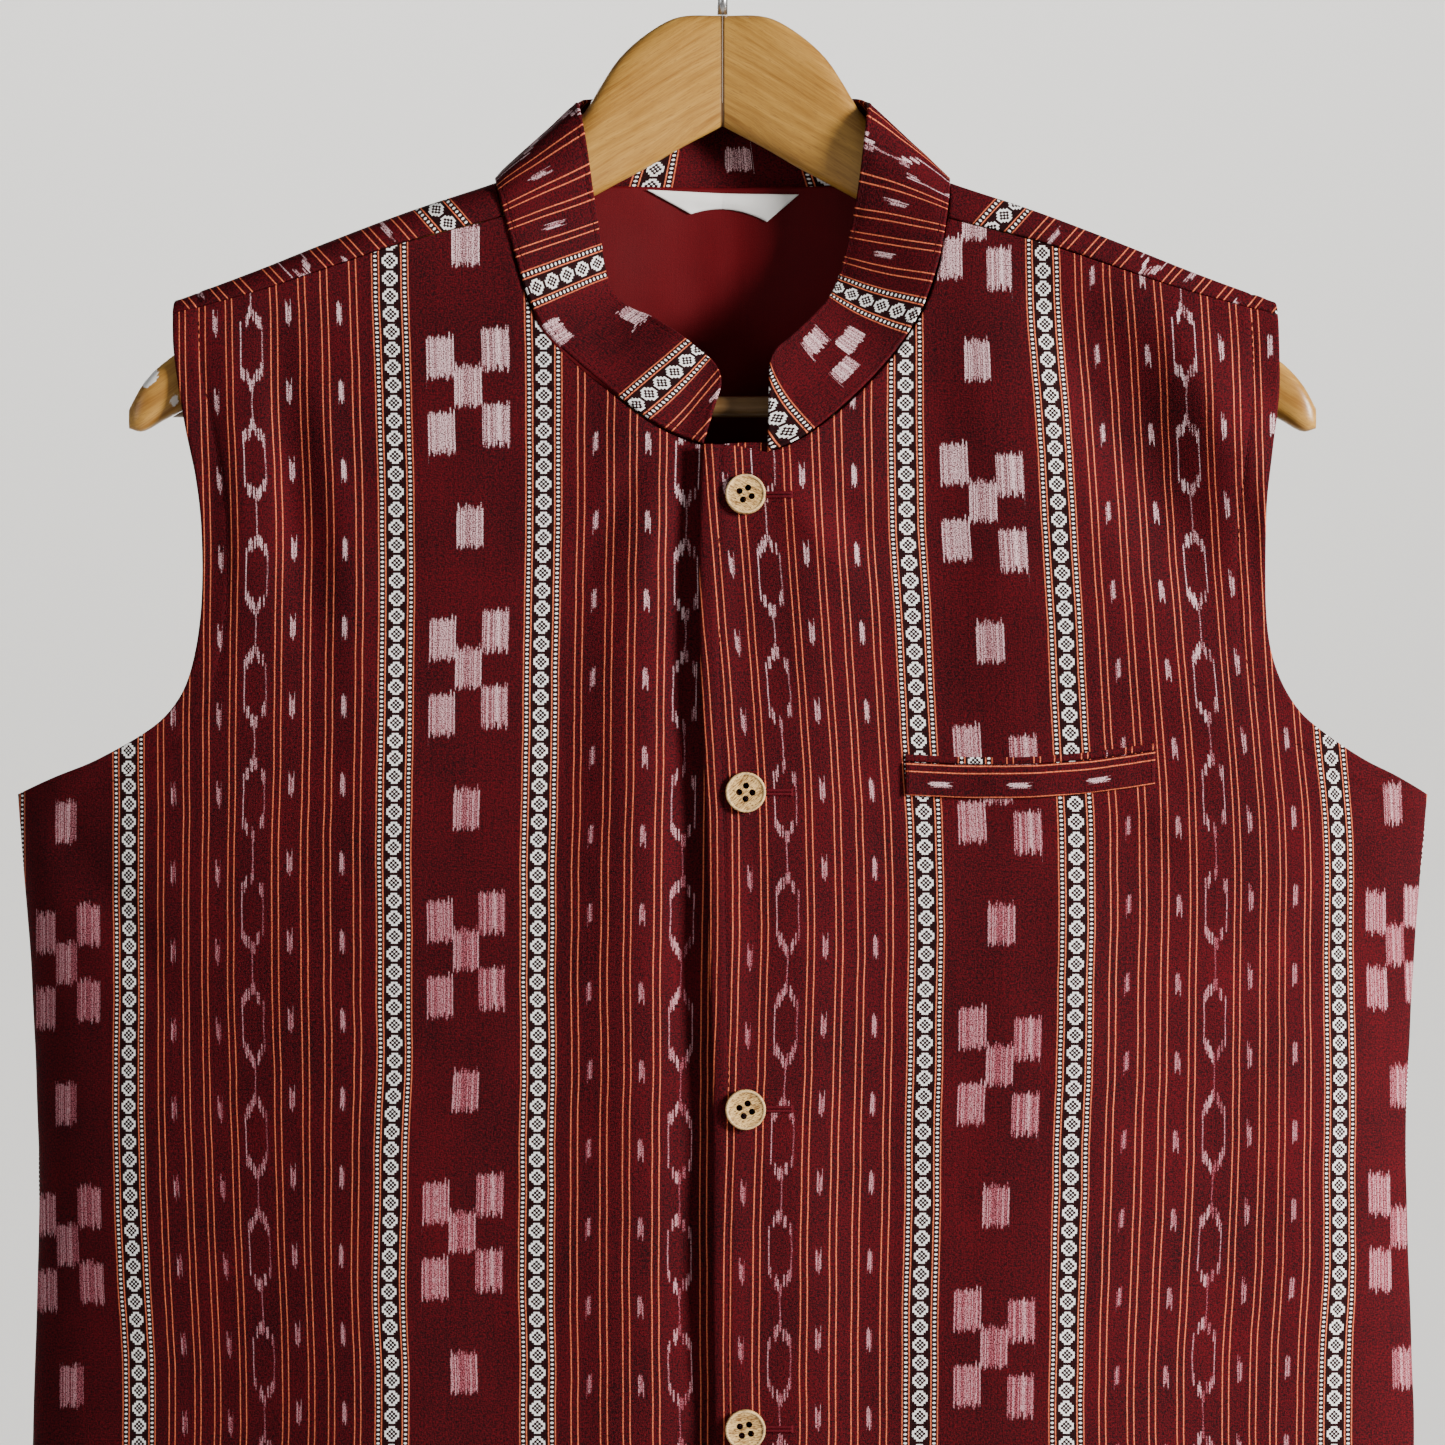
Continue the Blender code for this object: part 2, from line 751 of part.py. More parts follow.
def button_mesh(bm):
    """A turned disc with a raised rim and four holes on a small square, its back at z = 0."""
    rings = []
    for radius, height in BUTTON_PROFILE:
        made = bmesh.ops.create_circle(bm, segments=BUTTON_SIDES, radius=radius * MM)
        bmesh.ops.translate(bm, verts=made["verts"], vec=(0.0, 0.0, height * MM))
        rings.append(made["verts"])
    for lower, upper in zip(rings, rings[1:]):
        loft_between(bm, lower, upper)
    floor, back = list(ring_edges(rings[-1])), list(ring_edges(rings[0]))
    half = BUTTON_HOLE_SPACING / 2.0
    for x, y in ((half, half), (-half, half), (-half, -half), (half, -half)):
        ends = []
        for height in (0.0, BUTTON_PROFILE[-1][1]):
            made = bmesh.ops.create_circle(bm, segments=6, radius=BUTTON_HOLE_RADIUS * MM)
            bmesh.ops.translate(bm, verts=made["verts"], vec=place(x, y, height))
            ends.append(made["verts"])
        loft_between(bm, *ends)
        back.extend(ring_edges(ends[0]))
        floor.extend(ring_edges(ends[1]))
    bmesh.ops.triangle_fill(bm, use_beauty=True, edges=back)
    bmesh.ops.triangle_fill(bm, use_beauty=True, edges=floor)


def ring_edges(ring):
    members = set(ring)
    return {edge for vert in ring for edge in vert.link_edges if edge.other_vert(vert) in members}


def loft_between(bm, lower, upper):
    for index in range(len(lower)):
        after = (index + 1) % len(lower)
        bm.faces.new((lower[index], lower[after], upper[after], upper[index]))


def buttons(surface):
    for number, z in enumerate(BUTTON_Z, start=1):
        bm = bmesh.new()
        button_mesh(bm)
        outward = cloth_normal(True, BUTTON_X, z)
        seat = cloth_point(True, BUTTON_X, z) + outward * (LAP_LIFT + SEAT_GAP + 0.1)
        turned = outward.to_track_quat("Z", "Y").to_matrix().to_4x4()
        bmesh.ops.rotate(bm, verts=bm.verts, matrix=turned.to_3x3())
        bmesh.ops.translate(bm, verts=bm.verts, vec=seat * MM)
        add_object(f"button_{number}", bm, surface)


# Hanger

ARM_SIDES = 12
ARM_SQUARENESS = 0.75


def arm_ring(bm, sign, x, top_z, bottom_z):
    """One rounded upright section of an arm."""
    half_height = (top_z - bottom_z) / 2.0
    centre_z = (top_z + bottom_z) / 2.0
    ring = []
    for step in range(ARM_SIDES):
        turn = 2.0 * math.pi * step / ARM_SIDES
        across = math.copysign(abs(math.cos(turn)) ** ARM_SQUARENESS, math.cos(turn))
        upward = math.copysign(abs(math.sin(turn)) ** ARM_SQUARENESS, math.sin(turn))
        y = -ARM_FORWARD * x + across * ARM_THICK / 2.0
        ring.append(bm.verts.new(place(sign * x, y, centre_z + upward * half_height)))
    return ring


def hanger_arm(name, sign, surface):
    bm = bmesh.new()
    rings = [arm_ring(bm, sign, *row) for row in HANGER_ARM]
    for inner, outer in zip(rings, rings[1:]):
        loft_between(bm, inner, outer)
    bm.faces.new(rings[0])
    bm.faces.new(rings[-1])
    bmesh.ops.recalc_face_normals(bm, faces=bm.faces)
    return add_object(name, bm, surface)


def trouser_bar(name, surface):
    """A round bar whose ends are cut to the slope of the arms' undersides."""
    low = [(-row[2], row[0]) for row in HANGER_ARM[:11]]
    bm = bmesh.new()
    rings = []
    for sign in (-1.0, 1.0):
        made = bmesh.ops.create_circle(bm, segments=12, radius=BAR_RADIUS * MM)
        for vert in made["verts"]:
            across, upward = vert.co.x / MM, vert.co.y / MM
            end_x = read_off(low, -(BAR_Z + upward)) - 2.0 * SEAT_GAP
            vert.co = place(sign * end_x, across - ARM_FORWARD * 188.0, BAR_Z + upward)
        rings.append(made["verts"])
    loft_between(bm, *rings)
    bm.faces.new(rings[0])
    bm.faces.new(rings[1])
    return add_object(name, bm, surface)


def hook_route():
    """A question mark: from the open end over the top and down into the middle of the hanger."""
    bend = HOOK_RADIUS + WIRE_RADIUS
    centre_z = -HOOK_RADIUS
    points = []
    for step in range(21):
        turn = math.radians(mix(205.0, -60.0, step / 20))
        points.append((bend * math.cos(turn), centre_z + bend * math.sin(turn)))
    low_z = points[-1][1]
    turned_off = math.radians(60.0)
    for step in range(1, 7):
        turn = mix(turned_off, 0.0, step / 6)
        z = low_z - bend * (math.sin(turned_off) - math.sin(turn))
        points.append((bend * (1.0 - math.cos(turn)), z))
    points.append((0.0, HANGER_ARM[0][1] + SEAT_GAP))
    return points


def hook(name, surface):
    curve = bpy.data.curves.new(name, "CURVE")
    curve.dimensions = "3D"
    curve.bevel_depth = WIRE_RADIUS * MM
    curve.bevel_resolution = 2
    curve.use_fill_caps = True
    route = hook_route()
    spline = curve.splines.new("POLY")
    spline.points.add(len(route) - 1)
    for point, (x, z) in zip(spline.points, route):
        point.co = (*place(x, 0.0, z), 1.0)
    curve.materials.append(surface)
    made = bpy.data.objects.new(name, curve)
    bpy.context.collection.objects.link(made)
    return made


def build():
    clear_scene()
    ikat = material("ikat_cloth", (0.115, 0.010, 0.017), 0.85)
    lining = material("lining_cloth", (0.125, 0.008, 0.014), 0.7)
    label = material("label_satin", (0.80, 0.78, 0.74), 0.6)
    button_wood = material("button_wood", (0.50, 0.32, 0.17), 0.55)
    hanger_wood = material("hanger_wood", (0.58, 0.35, 0.13), 0.4)
    steel = material("hook_steel", (0.62, 0.62, 0.63), 0.25, 1.0)

    front_panel("left_front", "left", ikat)
    front_panel("right_front", "right", ikat)
    back_panel("back", ikat)
    collar("collar", ikat)
    back_lining("back_lining", lining)
    neck_label("neck_label", label)
    pocket(ikat)
    buttons(button_wood)
    hanger_arm("hanger_arm_left", 1.0, hanger_wood)
    hanger_arm("hanger_arm_right", -1.0, hanger_wood)
    trouser_bar("trouser_bar", hanger_wood)
    hook("hook", steel)


build()
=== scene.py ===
# A sleeveless stand-collar jacket in handloom ikat, buttoned, on a two-piece wooden hanger.
# +Z is up, -Y the front, +X the wearer's left; the origin is where the hook hangs.
# Sizes are in millimetres and become metres where a mesh is made.

import math

import bmesh
import bpy
from mathutils import Matrix
from mathutils import Vector
from mathutils import kdtree
from mathutils import noise


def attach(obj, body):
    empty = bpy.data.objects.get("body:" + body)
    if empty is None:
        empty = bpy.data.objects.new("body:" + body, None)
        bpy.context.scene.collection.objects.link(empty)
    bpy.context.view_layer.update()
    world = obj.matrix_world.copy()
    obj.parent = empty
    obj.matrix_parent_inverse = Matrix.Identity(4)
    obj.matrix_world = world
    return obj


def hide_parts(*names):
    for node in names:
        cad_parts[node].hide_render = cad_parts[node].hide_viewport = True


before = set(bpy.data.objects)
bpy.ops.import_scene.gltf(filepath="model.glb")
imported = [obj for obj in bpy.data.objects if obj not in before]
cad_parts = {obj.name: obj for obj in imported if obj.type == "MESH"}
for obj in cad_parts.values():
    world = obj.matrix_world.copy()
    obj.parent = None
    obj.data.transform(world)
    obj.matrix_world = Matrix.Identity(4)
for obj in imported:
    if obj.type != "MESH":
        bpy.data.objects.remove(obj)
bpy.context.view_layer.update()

# Camera
# The photograph looks straight at the chest from about two metres, from just above the pocket.


def placed(name, data):
    made = bpy.data.objects.new(name, data)
    bpy.context.collection.objects.link(made)
    return made


camera_lens = bpy.data.cameras.new("camera")
camera_lens.sensor_width = 36.0
camera_lens.lens = 129.5
camera = placed("camera", camera_lens)
camera.location = (0.0, -2.0, -0.334)
camera.rotation_euler = (math.radians(90.0), 0.0, 0.0)
bpy.context.scene.camera = camera

# Studio
# A pale matt floor well under the hem, which turns up into a wall far away on every side.

FLOOR_Z = -1.9
FLOOR_RADIUS = 5.0
WALL_TURN = 1.6
WALL_RISE = 3.0


def pale_studio():
    bm = bmesh.new()
    bmesh.ops.create_circle(bm, cap_ends=True, radius=FLOOR_RADIUS, segments=96)
    rim = list(bm.edges)
    for step in range(1, 11):
        made = bmesh.ops.extrude_edge_only(bm, edges=rim)["geom"]
        rim = [item for item in made if isinstance(item, bmesh.types.BMEdge)]
        turn = math.radians(9.0 * step)
        reach = FLOOR_RADIUS + WALL_TURN * math.sin(turn)
        height = WALL_TURN * (1.0 - math.cos(turn)) + (WALL_RISE if step == 10 else 0.0)
        for vert in {vert for edge in rim for vert in edge.verts}:
            flat = Vector((vert.co.x, vert.co.y, 0.0)).normalized() * reach
            vert.co = (flat.x, flat.y, height)
    bmesh.ops.translate(bm, verts=bm.verts, vec=(0.0, 0.0, FLOOR_Z))
    bmesh.ops.recalc_face_normals(bm, faces=bm.faces)
    bmesh.ops.reverse_faces(bm, faces=bm.faces)
    mesh = bpy.data.meshes.new("studio")
    bm.to_mesh(mesh)
    bm.free()
    mesh.shade_smooth()
    return placed("studio", mesh)


def new_material(name):
    made = bpy.data.materials.new(name)
    made.use_nodes = True
    return made, made.node_tree, made.node_tree.nodes["Principled BSDF"]


studio = pale_studio()
studio_paint, _, studio_shader = new_material("studio paint")
studio_shader.inputs["Base Color"].default_value = (0.78, 0.77, 0.75, 1.0)
studio_shader.inputs["Roughness"].default_value = 0.9
studio.data.materials.append(studio_paint)

# Lights
# A soft main light from the upper right, a weak fill from the left and a pale room.


def soft_light(name, place, aim, size, watts, colour):
    lamp = bpy.data.lights.new(name, "AREA")
    lamp.shape = "RECTANGLE"
    lamp.size, lamp.size_y = size
    lamp.energy = watts
    lamp.color = colour
    made = placed(name, lamp)
    made.location = place
    away = Vector(aim) - Vector(place)
    made.rotation_euler = away.to_track_quat("-Z", "Y").to_euler()


soft_light("main light", (1.62, -1.0, 0.05), (0.05, 0.0, -0.47), (0.4, 0.55), 88.0, (1.0, 0.97, 0.93))
soft_light("front fill", (-1.7, -1.7, -0.1), (-0.1, 0.0, -0.45), (1.0, 1.0), 6.5, (0.95, 0.97, 1.0))
soft_light("back fill", (-0.9, 2.3, 0.5), (0.0, 0.0, -0.4), (1.2, 1.2), 30.0, (1.0, 0.98, 0.96))
soft_light("wall wash", (0.0, 3.4, 2.4), (0.0, 6.6, -0.6), (3.0, 1.0), 260.0, (1.0, 0.99, 0.97))

room = bpy.data.worlds.new("room")
room.use_nodes = True
room.node_tree.nodes["Background"].inputs["Color"].default_value = (0.93, 0.95, 1.0, 1.0)
room.node_tree.nodes["Background"].inputs["Strength"].default_value = 0.15
bpy.context.scene.world = room

# Fronts
# Two panels of striped ikat, lined, whose open edges are turned under. The wearer's left one
# laps over the other and carries the buttonholes, and both hang from the forward shoulder seam.

MM = 0.001
CLOTH = 1.8
EDGE_ROUND = 0.9
SEAM_GAP = 0.4
STITCH_DEPTH = 0.38
HEM_Z = -851.0
UNDERARM_Z = -361.4
NECK_X = 86.5
TIP_X = 210.0
FRONT_DEPTH = 45.0
BACK_DEPTH = 37.0
SHOULDER_ROUND = 11.0
SWELL_DROP = 175.0
ARM_FORWARD = 0.125
LAP_LIFT = 1.6
UNDER_SINK = 0.6
UNDER_EDGE_X = 19.0
SIGN = {"left": 1.0, "right": -1.0}

# A distance from every edge that is too large to matter
FAR_AWAY = 99.0

# Half width of the body by height: z, half_width
SIDE_LINE = (
    (-851.0, 274.0), (-720.0, 268.5), (-607.0, 265.5), (-500.0, 263.0), (-430.0, 265.5),
    (-361.4, 269.5), (-300.0, 271.0), (-120.0, 271.0),
)

# Height of the shoulder ridge by distance from the middle: x, z
SHOULDER_LINE = (
    (0.0, -99.0), (50.0, -113.5), (86.5, -127.4), (120.0, -139.0), (150.0, -150.8), (180.0, -163.2),
    (210.0, -174.5), (275.0, -197.0),
)

# How far the forward seam lies below the ridge: x, drop
FORWARD_SEAM = ((80.0, 15.0), (120.0, 12.0), (165.0, 9.5), (211.0, 4.6))

# Armhole edges from the tip of the shoulder to the underarm: x, z
ARMHOLE = {
    "right": (
        (208.4, -179.0), (207.6, -194.3), (203.4, -220.4), (198.8, -241.9), (196.5, -262.0),
        (196.2, -288.0), (198.8, -308.5), (204.0, -323.5), (214.0, -335.0), (236.6, -348.1),
        (254.0, -355.0), (269.5, -361.4),
    ),
    "left": (
        (210.4, -179.0), (210.6, -208.3), (207.4, -232.0), (204.7, -254.0), (204.3, -277.1),
        (206.0, -302.0), (210.2, -317.2), (217.7, -329.6), (227.9, -338.3), (243.1, -348.1),
        (256.0, -354.3), (269.5, -361.4),
    ),
}

# The neck seam and the top of the collar, from the front end to the ridge.
# Columns: seam_x, seam_z, top_x, top_z, back (how far the top lies behind the seam)
COLLAR = {
    "right": (
        (-7.2, -229.5, 1.6, -200.5, 11.0),
        (-19.3, -224.9, -8.0, -193.5, 12.0),
        (-31.4, -217.7, -16.5, -186.5, 13.0),
        (-43.5, -207.9, -25.5, -180.5, 15.0),
        (-56.7, -197.0, -35.5, -176.0, 17.0),
        (-67.3, -186.4, -42.0, -170.0, 17.0),
        (-73.3, -175.4, -45.0, -161.5, 15.0),
        (-78.2, -161.0, -47.0, -148.0, 11.0),
        (-82.4, -145.2, -49.5, -131.0, 5.5),
        (-85.2, -133.5, -52.0, -112.0, 1.5),
        (-86.5, -127.4, -54.5, -97.6, 0.5),
    ),
    "left": (
        (17.0, -232.5, 17.6, -192.0, 8.0),
        (28.0, -228.0, 21.5, -191.0, 9.0),
        (38.6, -220.6, 27.5, -186.0, 10.0),
        (51.8, -209.0, 35.5, -178.0, 12.0),
        (63.9, -195.8, 41.5, -170.5, 14.0),
        (71.1, -186.0, 44.8, -163.0, 15.0),
        (77.1, -175.4, 47.2, -154.5, 14.0),
        (82.6, -159.0, 50.0, -142.0, 10.0),
        (85.4, -144.5, 52.3, -127.0, 5.0),
        (86.4, -134.5, 54.0, -111.0, 1.5),
        (86.5, -127.4, 55.0, -97.9, 0.5),
    ),
}

# Folds that the cloth hangs in. Columns: x, z, along_x, along_z, half_length, half_width, depth
FRONT_FOLDS = (
    (157.0, -234.5, 0.45, -0.89, 60.0, 15.0, -8.4),
    (188.5, -218.5, 0.45, -0.89, 56.0, 13.5, 7.0),
    (80.0, -255.0, 0.08, -0.99, 92.0, 20.0, -4.4),
    (64.0, -420.0, 0.02, -1.0, 190.0, 25.0, -3.6),
    (204.0, -290.0, 0.20, -0.98, 40.0, 9.0, -1.6),
    (-161.0, -255.0, 0.20, -0.98, 55.0, 10.0, -2.6),
    (-180.0, -250.0, 0.10, -0.99, 60.0, 11.0, 2.2),
    (-138.0, -300.0, 0.08, -0.99, 80.0, 12.0, 1.6),
    (40.0, -300.0, 0.10, -0.99, 90.0, 16.0, 1.6),
    (-12.0, -420.0, 0.02, -1.0, 330.0, 9.0, -3.4),
    (-34.0, -440.0, 0.0, -1.0, 260.0, 13.0, 1.6),
    (-58.0, -330.0, -0.06, -0.99, 120.0, 13.0, -1.9),
    (92.0, -470.0, 0.04, -0.99, 120.0, 15.0, -1.5),
    (132.0, -420.0, 0.10, -0.99, 70.0, 12.0, 1.5),
    (-120.0, -620.0, 0.05, -0.99, 170.0, 34.0, 2.4),
    (-190.0, -650.0, 0.02, -0.99, 170.0, 30.0, -2.2),
    (110.0, -640.0, -0.05, -0.99, 170.0, 36.0, 2.2),
    (185.0, -640.0, -0.03, -0.99, 170.0, 30.0, -2.4),
)
BACK_FOLDS = (
    (-120.0, -600.0, 0.04, -0.99, 200.0, 30.0, 4.2),
    (-55.0, -640.0, 0.02, -0.99, 190.0, 26.0, -3.6),
    (30.0, -600.0, -0.02, -0.99, 210.0, 28.0, 4.0),
    (105.0, -640.0, -0.04, -0.99, 190.0, 28.0, -4.0),
    (150.0, -260.0, 0.30, -0.95, 60.0, 18.0, -1.8),
    (-150.0, -260.0, -0.30, -0.95, 60.0, 18.0, -1.8),
)

# Small drags and creases, in the same columns
FRONT_CREASES = (
    (34.0, -262.0, 0.62, -0.78, 24.0, 5.5, 0.9),
    (44.0, -252.0, 0.72, -0.70, 26.0, 6.0, -0.8),
    (-26.0, -262.0, -0.25, -0.97, 34.0, 6.0, 0.9),
    (-38.0, -250.0, -0.40, -0.92, 32.0, 6.0, -0.8),
    (150.0, -215.0, 0.42, -0.91, 46.0, 6.5, 0.9),
    (198.0, -250.0, 0.20, -0.98, 40.0, 6.0, -0.9),
    (-192.0, -245.0, 0.05, -1.0, 44.0, 5.0, -0.8),
    (-172.0, -232.0, 0.12, -0.99, 40.0, 5.0, 0.9),
    (-150.0, -228.0, 0.18, -0.98, 40.0, 6.0, 0.7),
    (64.0, -380.0, 0.96, -0.28, 18.0, 5.0, -0.5),
    (118.0, -376.0, 1.0, -0.04, 40.0, 7.0, -0.9),
    (170.0, -372.0, 0.80, -0.60, 22.0, 6.0, 0.8),
    (232.0, -400.0, -0.55, -0.84, 44.0, 8.0, -1.1),
    (-232.0, -405.0, 0.55, -0.84, 48.0, 8.0, -1.1),
)
BACK_CREASES = (
    (96.0, -190.0, 0.80, -0.60, 40.0, 8.0, -0.9),
    (-96.0, -190.0, -0.80, -0.60, 40.0, 8.0, -0.9),
    (60.0, -230.0, 0.50, -0.87, 60.0, 9.0, 0.9),
    (-66.0, -240.0, -0.45, -0.89, 60.0, 9.0, 0.8),
    (190.0, -300.0, 0.10, -1.0, 44.0, 6.0, -0.9),
    (-190.0, -305.0, -0.10, -1.0, 44.0, 6.0, -0.9),
    (226.0, -410.0, -0.60, -0.80, 50.0, 9.0, -1.2),
    (-226.0, -415.0, 0.60, -0.80, 50.0, 9.0, -1.2),
    (0.0, -330.0, 0.05, -1.0, 110.0, 12.0, -0.8),
)

# The edge of the button lap by depth below the hook: drop, x
LAP_EDGE = (
    (229.0, -6.4), (262.0, -7.8), (310.0, -7.2), (360.0, -5.6), (410.0, -4.0), (480.0, -2.6),
    (600.0, -2.4), (851.0, -2.6),
)


def mix(first, second, share):
    return first + (second - first) * share


def smoothstep(share):
    share = min(max(share, 0.0), 1.0)
    return share * share * (3.0 - 2.0 * share)


def read_off(table, at, column=1):
    """Smooth cubic reading of a table whose first column rises."""
    last = len(table) - 1
    span = 0
    while span < last - 1 and at > table[span + 1][0]:
        span += 1

    def slope(index):
        low, high = max(index - 1, 0), min(index + 1, last)
        return (table[high][column] - table[low][column]) / (table[high][0] - table[low][0])

    start, end = table[span], table[span + 1]
    width = end[0] - start[0]
    share = (at - start[0]) / width
    if share < 0.0 or share > 1.0:
        edge = span if share < 0.0 else span + 1
        return table[edge][column] + slope(edge) * (at - table[edge][0])
    square, cube = share * share, share * share * share
    return (
        start[column] * (2.0 * cube - 3.0 * square + 1.0)
        + end[column] * (3.0 * square - 2.0 * cube)
        + slope(span) * width * (cube - 2.0 * square + share)
        + slope(span + 1) * width * (cube - square)
    )


def by_length(points):
    """Puts the share of the length, counted in the first two columns, before each tuple."""
    lengths = [0.0]
    for first, second in zip(points, points[1:]):
        lengths.append(lengths[-1] + math.dist(first[:2], second[:2]))
    return [(length / lengths[-1], *point) for length, point in zip(lengths, points)]


def along(table, share):
    return tuple(read_off(table, share, column) for column in range(1, len(table[0])))


ARMHOLE_LINE = {side: by_length(rows) for side, rows in ARMHOLE.items()}
COLLAR_LINE = {side: by_length(rows) for side, rows in COLLAR.items()}


def shoulder_height(x):
    return read_off(SHOULDER_LINE, abs(x))


def fold_height(folds, x, z):
    total = 0.0
    for fold_x, fold_z, along_x, along_z, half_length, half_width, depth in folds:
        across = ((x - fold_x) * along_z - (z - fold_z) * along_x) / half_width
        if abs(across) < 3.0:
            run = ((x - fold_x) * along_x + (z - fold_z) * along_z) / half_length
            total += depth * math.exp(-run * run - across * across)
    return total


def middle(front, x, z):
    """The surface between front and back: over the arms of the hanger, then hanging straight."""
    drop = shoulder_height(x) - z
    forward = -ARM_FORWARD * math.sqrt(x * x + 100.0)
    hang = 1.0 - smoothstep((drop - 50.0) / 210.0)
    edge = max(1.0 - (x / read_off(SIDE_LINE, z)) ** 2, 0.0)
    fade = smoothstep(drop / 40.0) * smoothstep(edge / 0.3)
    if front:
        return forward * hang - fold_height(FRONT_FOLDS, x, z) * fade
    return forward * hang + fold_height(BACK_FOLDS, x, z) * fade


def depth_squared(front, x, z):
    """Squared distance of the cloth from the middle surface."""
    drop = shoulder_height(x) - z
    turned = min(drop, SHOULDER_ROUND)
    round_squared = 2.0 * SHOULDER_ROUND * turned - turned * turned
    depth = FRONT_DEPTH if front else BACK_DEPTH
    swell = (depth - SHOULDER_ROUND) * smoothstep(drop / SWELL_DROP)
    edge = 1.0 - (x / read_off(SIDE_LINE, z)) ** 2
    straight = math.sqrt(max(round_squared, 0.0))
    return edge * (round_squared + 2.0 * straight * swell + swell * swell)


def cloth_point(front, x, z):
    depth = math.sqrt(max(depth_squared(front, x, z), 0.0))
    return Vector((x, middle(front, x, z) + (-depth if front else depth), z))


def cloth_normal(front, x, z):
    """Outward direction, from the slope of (y - middle)^2 - depth^2, which is smooth at the ridge too."""
    step = 0.05
    offset = cloth_point(front, x, z).y - middle(front, x, z)

    def slope(step_x, step_z):
        ahead, behind = (x + step_x, z + step_z), (x - step_x, z - step_z)
        middle_slope = (middle(front, *ahead) - middle(front, *behind)) / (2.0 * step)
        depth_slope = (depth_squared(front, *ahead) - depth_squared(front, *behind)) / (2.0 * step)
        return -2.0 * offset * middle_slope - depth_slope

    return Vector((slope(step, 0.0), 2.0 * offset, slope(0.0, step))).normalized()


def ripple(first, second, third):
    return noise.noise(Vector((first, second, third)))


def softness(front, x, z):
    """Creases and the uneven surface of cloth that has been worn and hung."""
    creases = FRONT_CREASES if front else BACK_CREASES
    seed = 3.0 if front else 31.0
    drop = shoulder_height(x) - z
    broad = ripple(x / 55.0, z / 90.0, seed)
    small = ripple(x / 15.0, z / 24.0, seed + 9.0)
    uneven = (0.9 * broad + 0.25 * small) * smoothstep(drop / 30.0)
    return 1.5 * fold_height(creases, x, z) + 1.25 * uneven


def rounded(distance):
    """Share of the cloth's half thickness that is left near an edge which is turned under."""
    reach = min(distance / EDGE_ROUND, 1.0)
    return max(math.sqrt(max(1.0 - (1.0 - reach) ** 2, 0.0)), 0.1)


def stitch_dent(distance, line):
    return -STITCH_DEPTH * math.exp(-((distance - line) ** 2))


def cloth_pair(front, x, z, lift, edge_distance, thickness=CLOTH):
    """Outer and inner points of a wall whose outer face is lifted off the form by lift."""
    outward = cloth_normal(front, x, z)
    half = thickness / 2.0
    base = cloth_point(front, x, z) + outward * (lift - half)
    return base + outward * half * rounded(edge_distance), base - outward * half * rounded(edge_distance)


def add_piece(name, bm, *finishes):
    mesh = bpy.data.meshes.new(name)
    bm.to_mesh(mesh)
    bm.free()
    for finish in finishes:
        mesh.materials.append(finish)
    mesh.shade_smooth()
    made = placed(name, mesh)
    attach(made, "root")
    return made


def cloth_wall(name, columns, rows, point_at, finishes, keep=None):
    """A closed wall over a grid. point_at gives outer, inner, stripe and motif places of a grid point."""
    bm = bmesh.new()
    bmesh.ops.create_grid(bm, x_segments=columns, y_segments=rows, size=1.0)
    inner_at = bm.verts.layers.float_vector.new("inner")
    stripes_at = bm.verts.layers.float_vector.new("stripes")
    motifs_at = bm.verts.layers.float_vector.new("motifs")
    if keep is not None:
        dropped = []
        for face in bm.faces:
            centre = face.calc_center_median()
            column = int((centre.x + 1.0) * columns / 2.0)
            row = int((centre.y + 1.0) * rows / 2.0)
            if not keep(column, row):
                dropped.append(face)
        bmesh.ops.delete(bm, geom=dropped, context="FACES")
    for vert in bm.verts:
        column = round((vert.co.x + 1.0) * columns / 2.0)
        row = round((vert.co.y + 1.0) * rows / 2.0)
        outer, inner, vert[stripes_at], vert[motifs_at] = point_at(column, row)
        vert.co = outer * MM
        vert[inner_at] = inner * MM
    made = bmesh.ops.extrude_face_region(bm, geom=list(bm.faces))["geom"]
    for item in made:
        if isinstance(item, bmesh.types.BMVert):
            item.co = item[inner_at]
        if isinstance(item, bmesh.types.BMFace) and len(finishes) > 1:
            item.material_index = 1
    bmesh.ops.recalc_face_normals(bm, faces=bm.faces)
    if bm.calc_volume(signed=True) < 0.0:
        bmesh.ops.reverse_faces(bm, faces=bm.faces)
    bm.verts.layers.float_vector.remove(bm.verts.layers.float_vector["inner"])
    return add_piece(name, bm, *finishes)


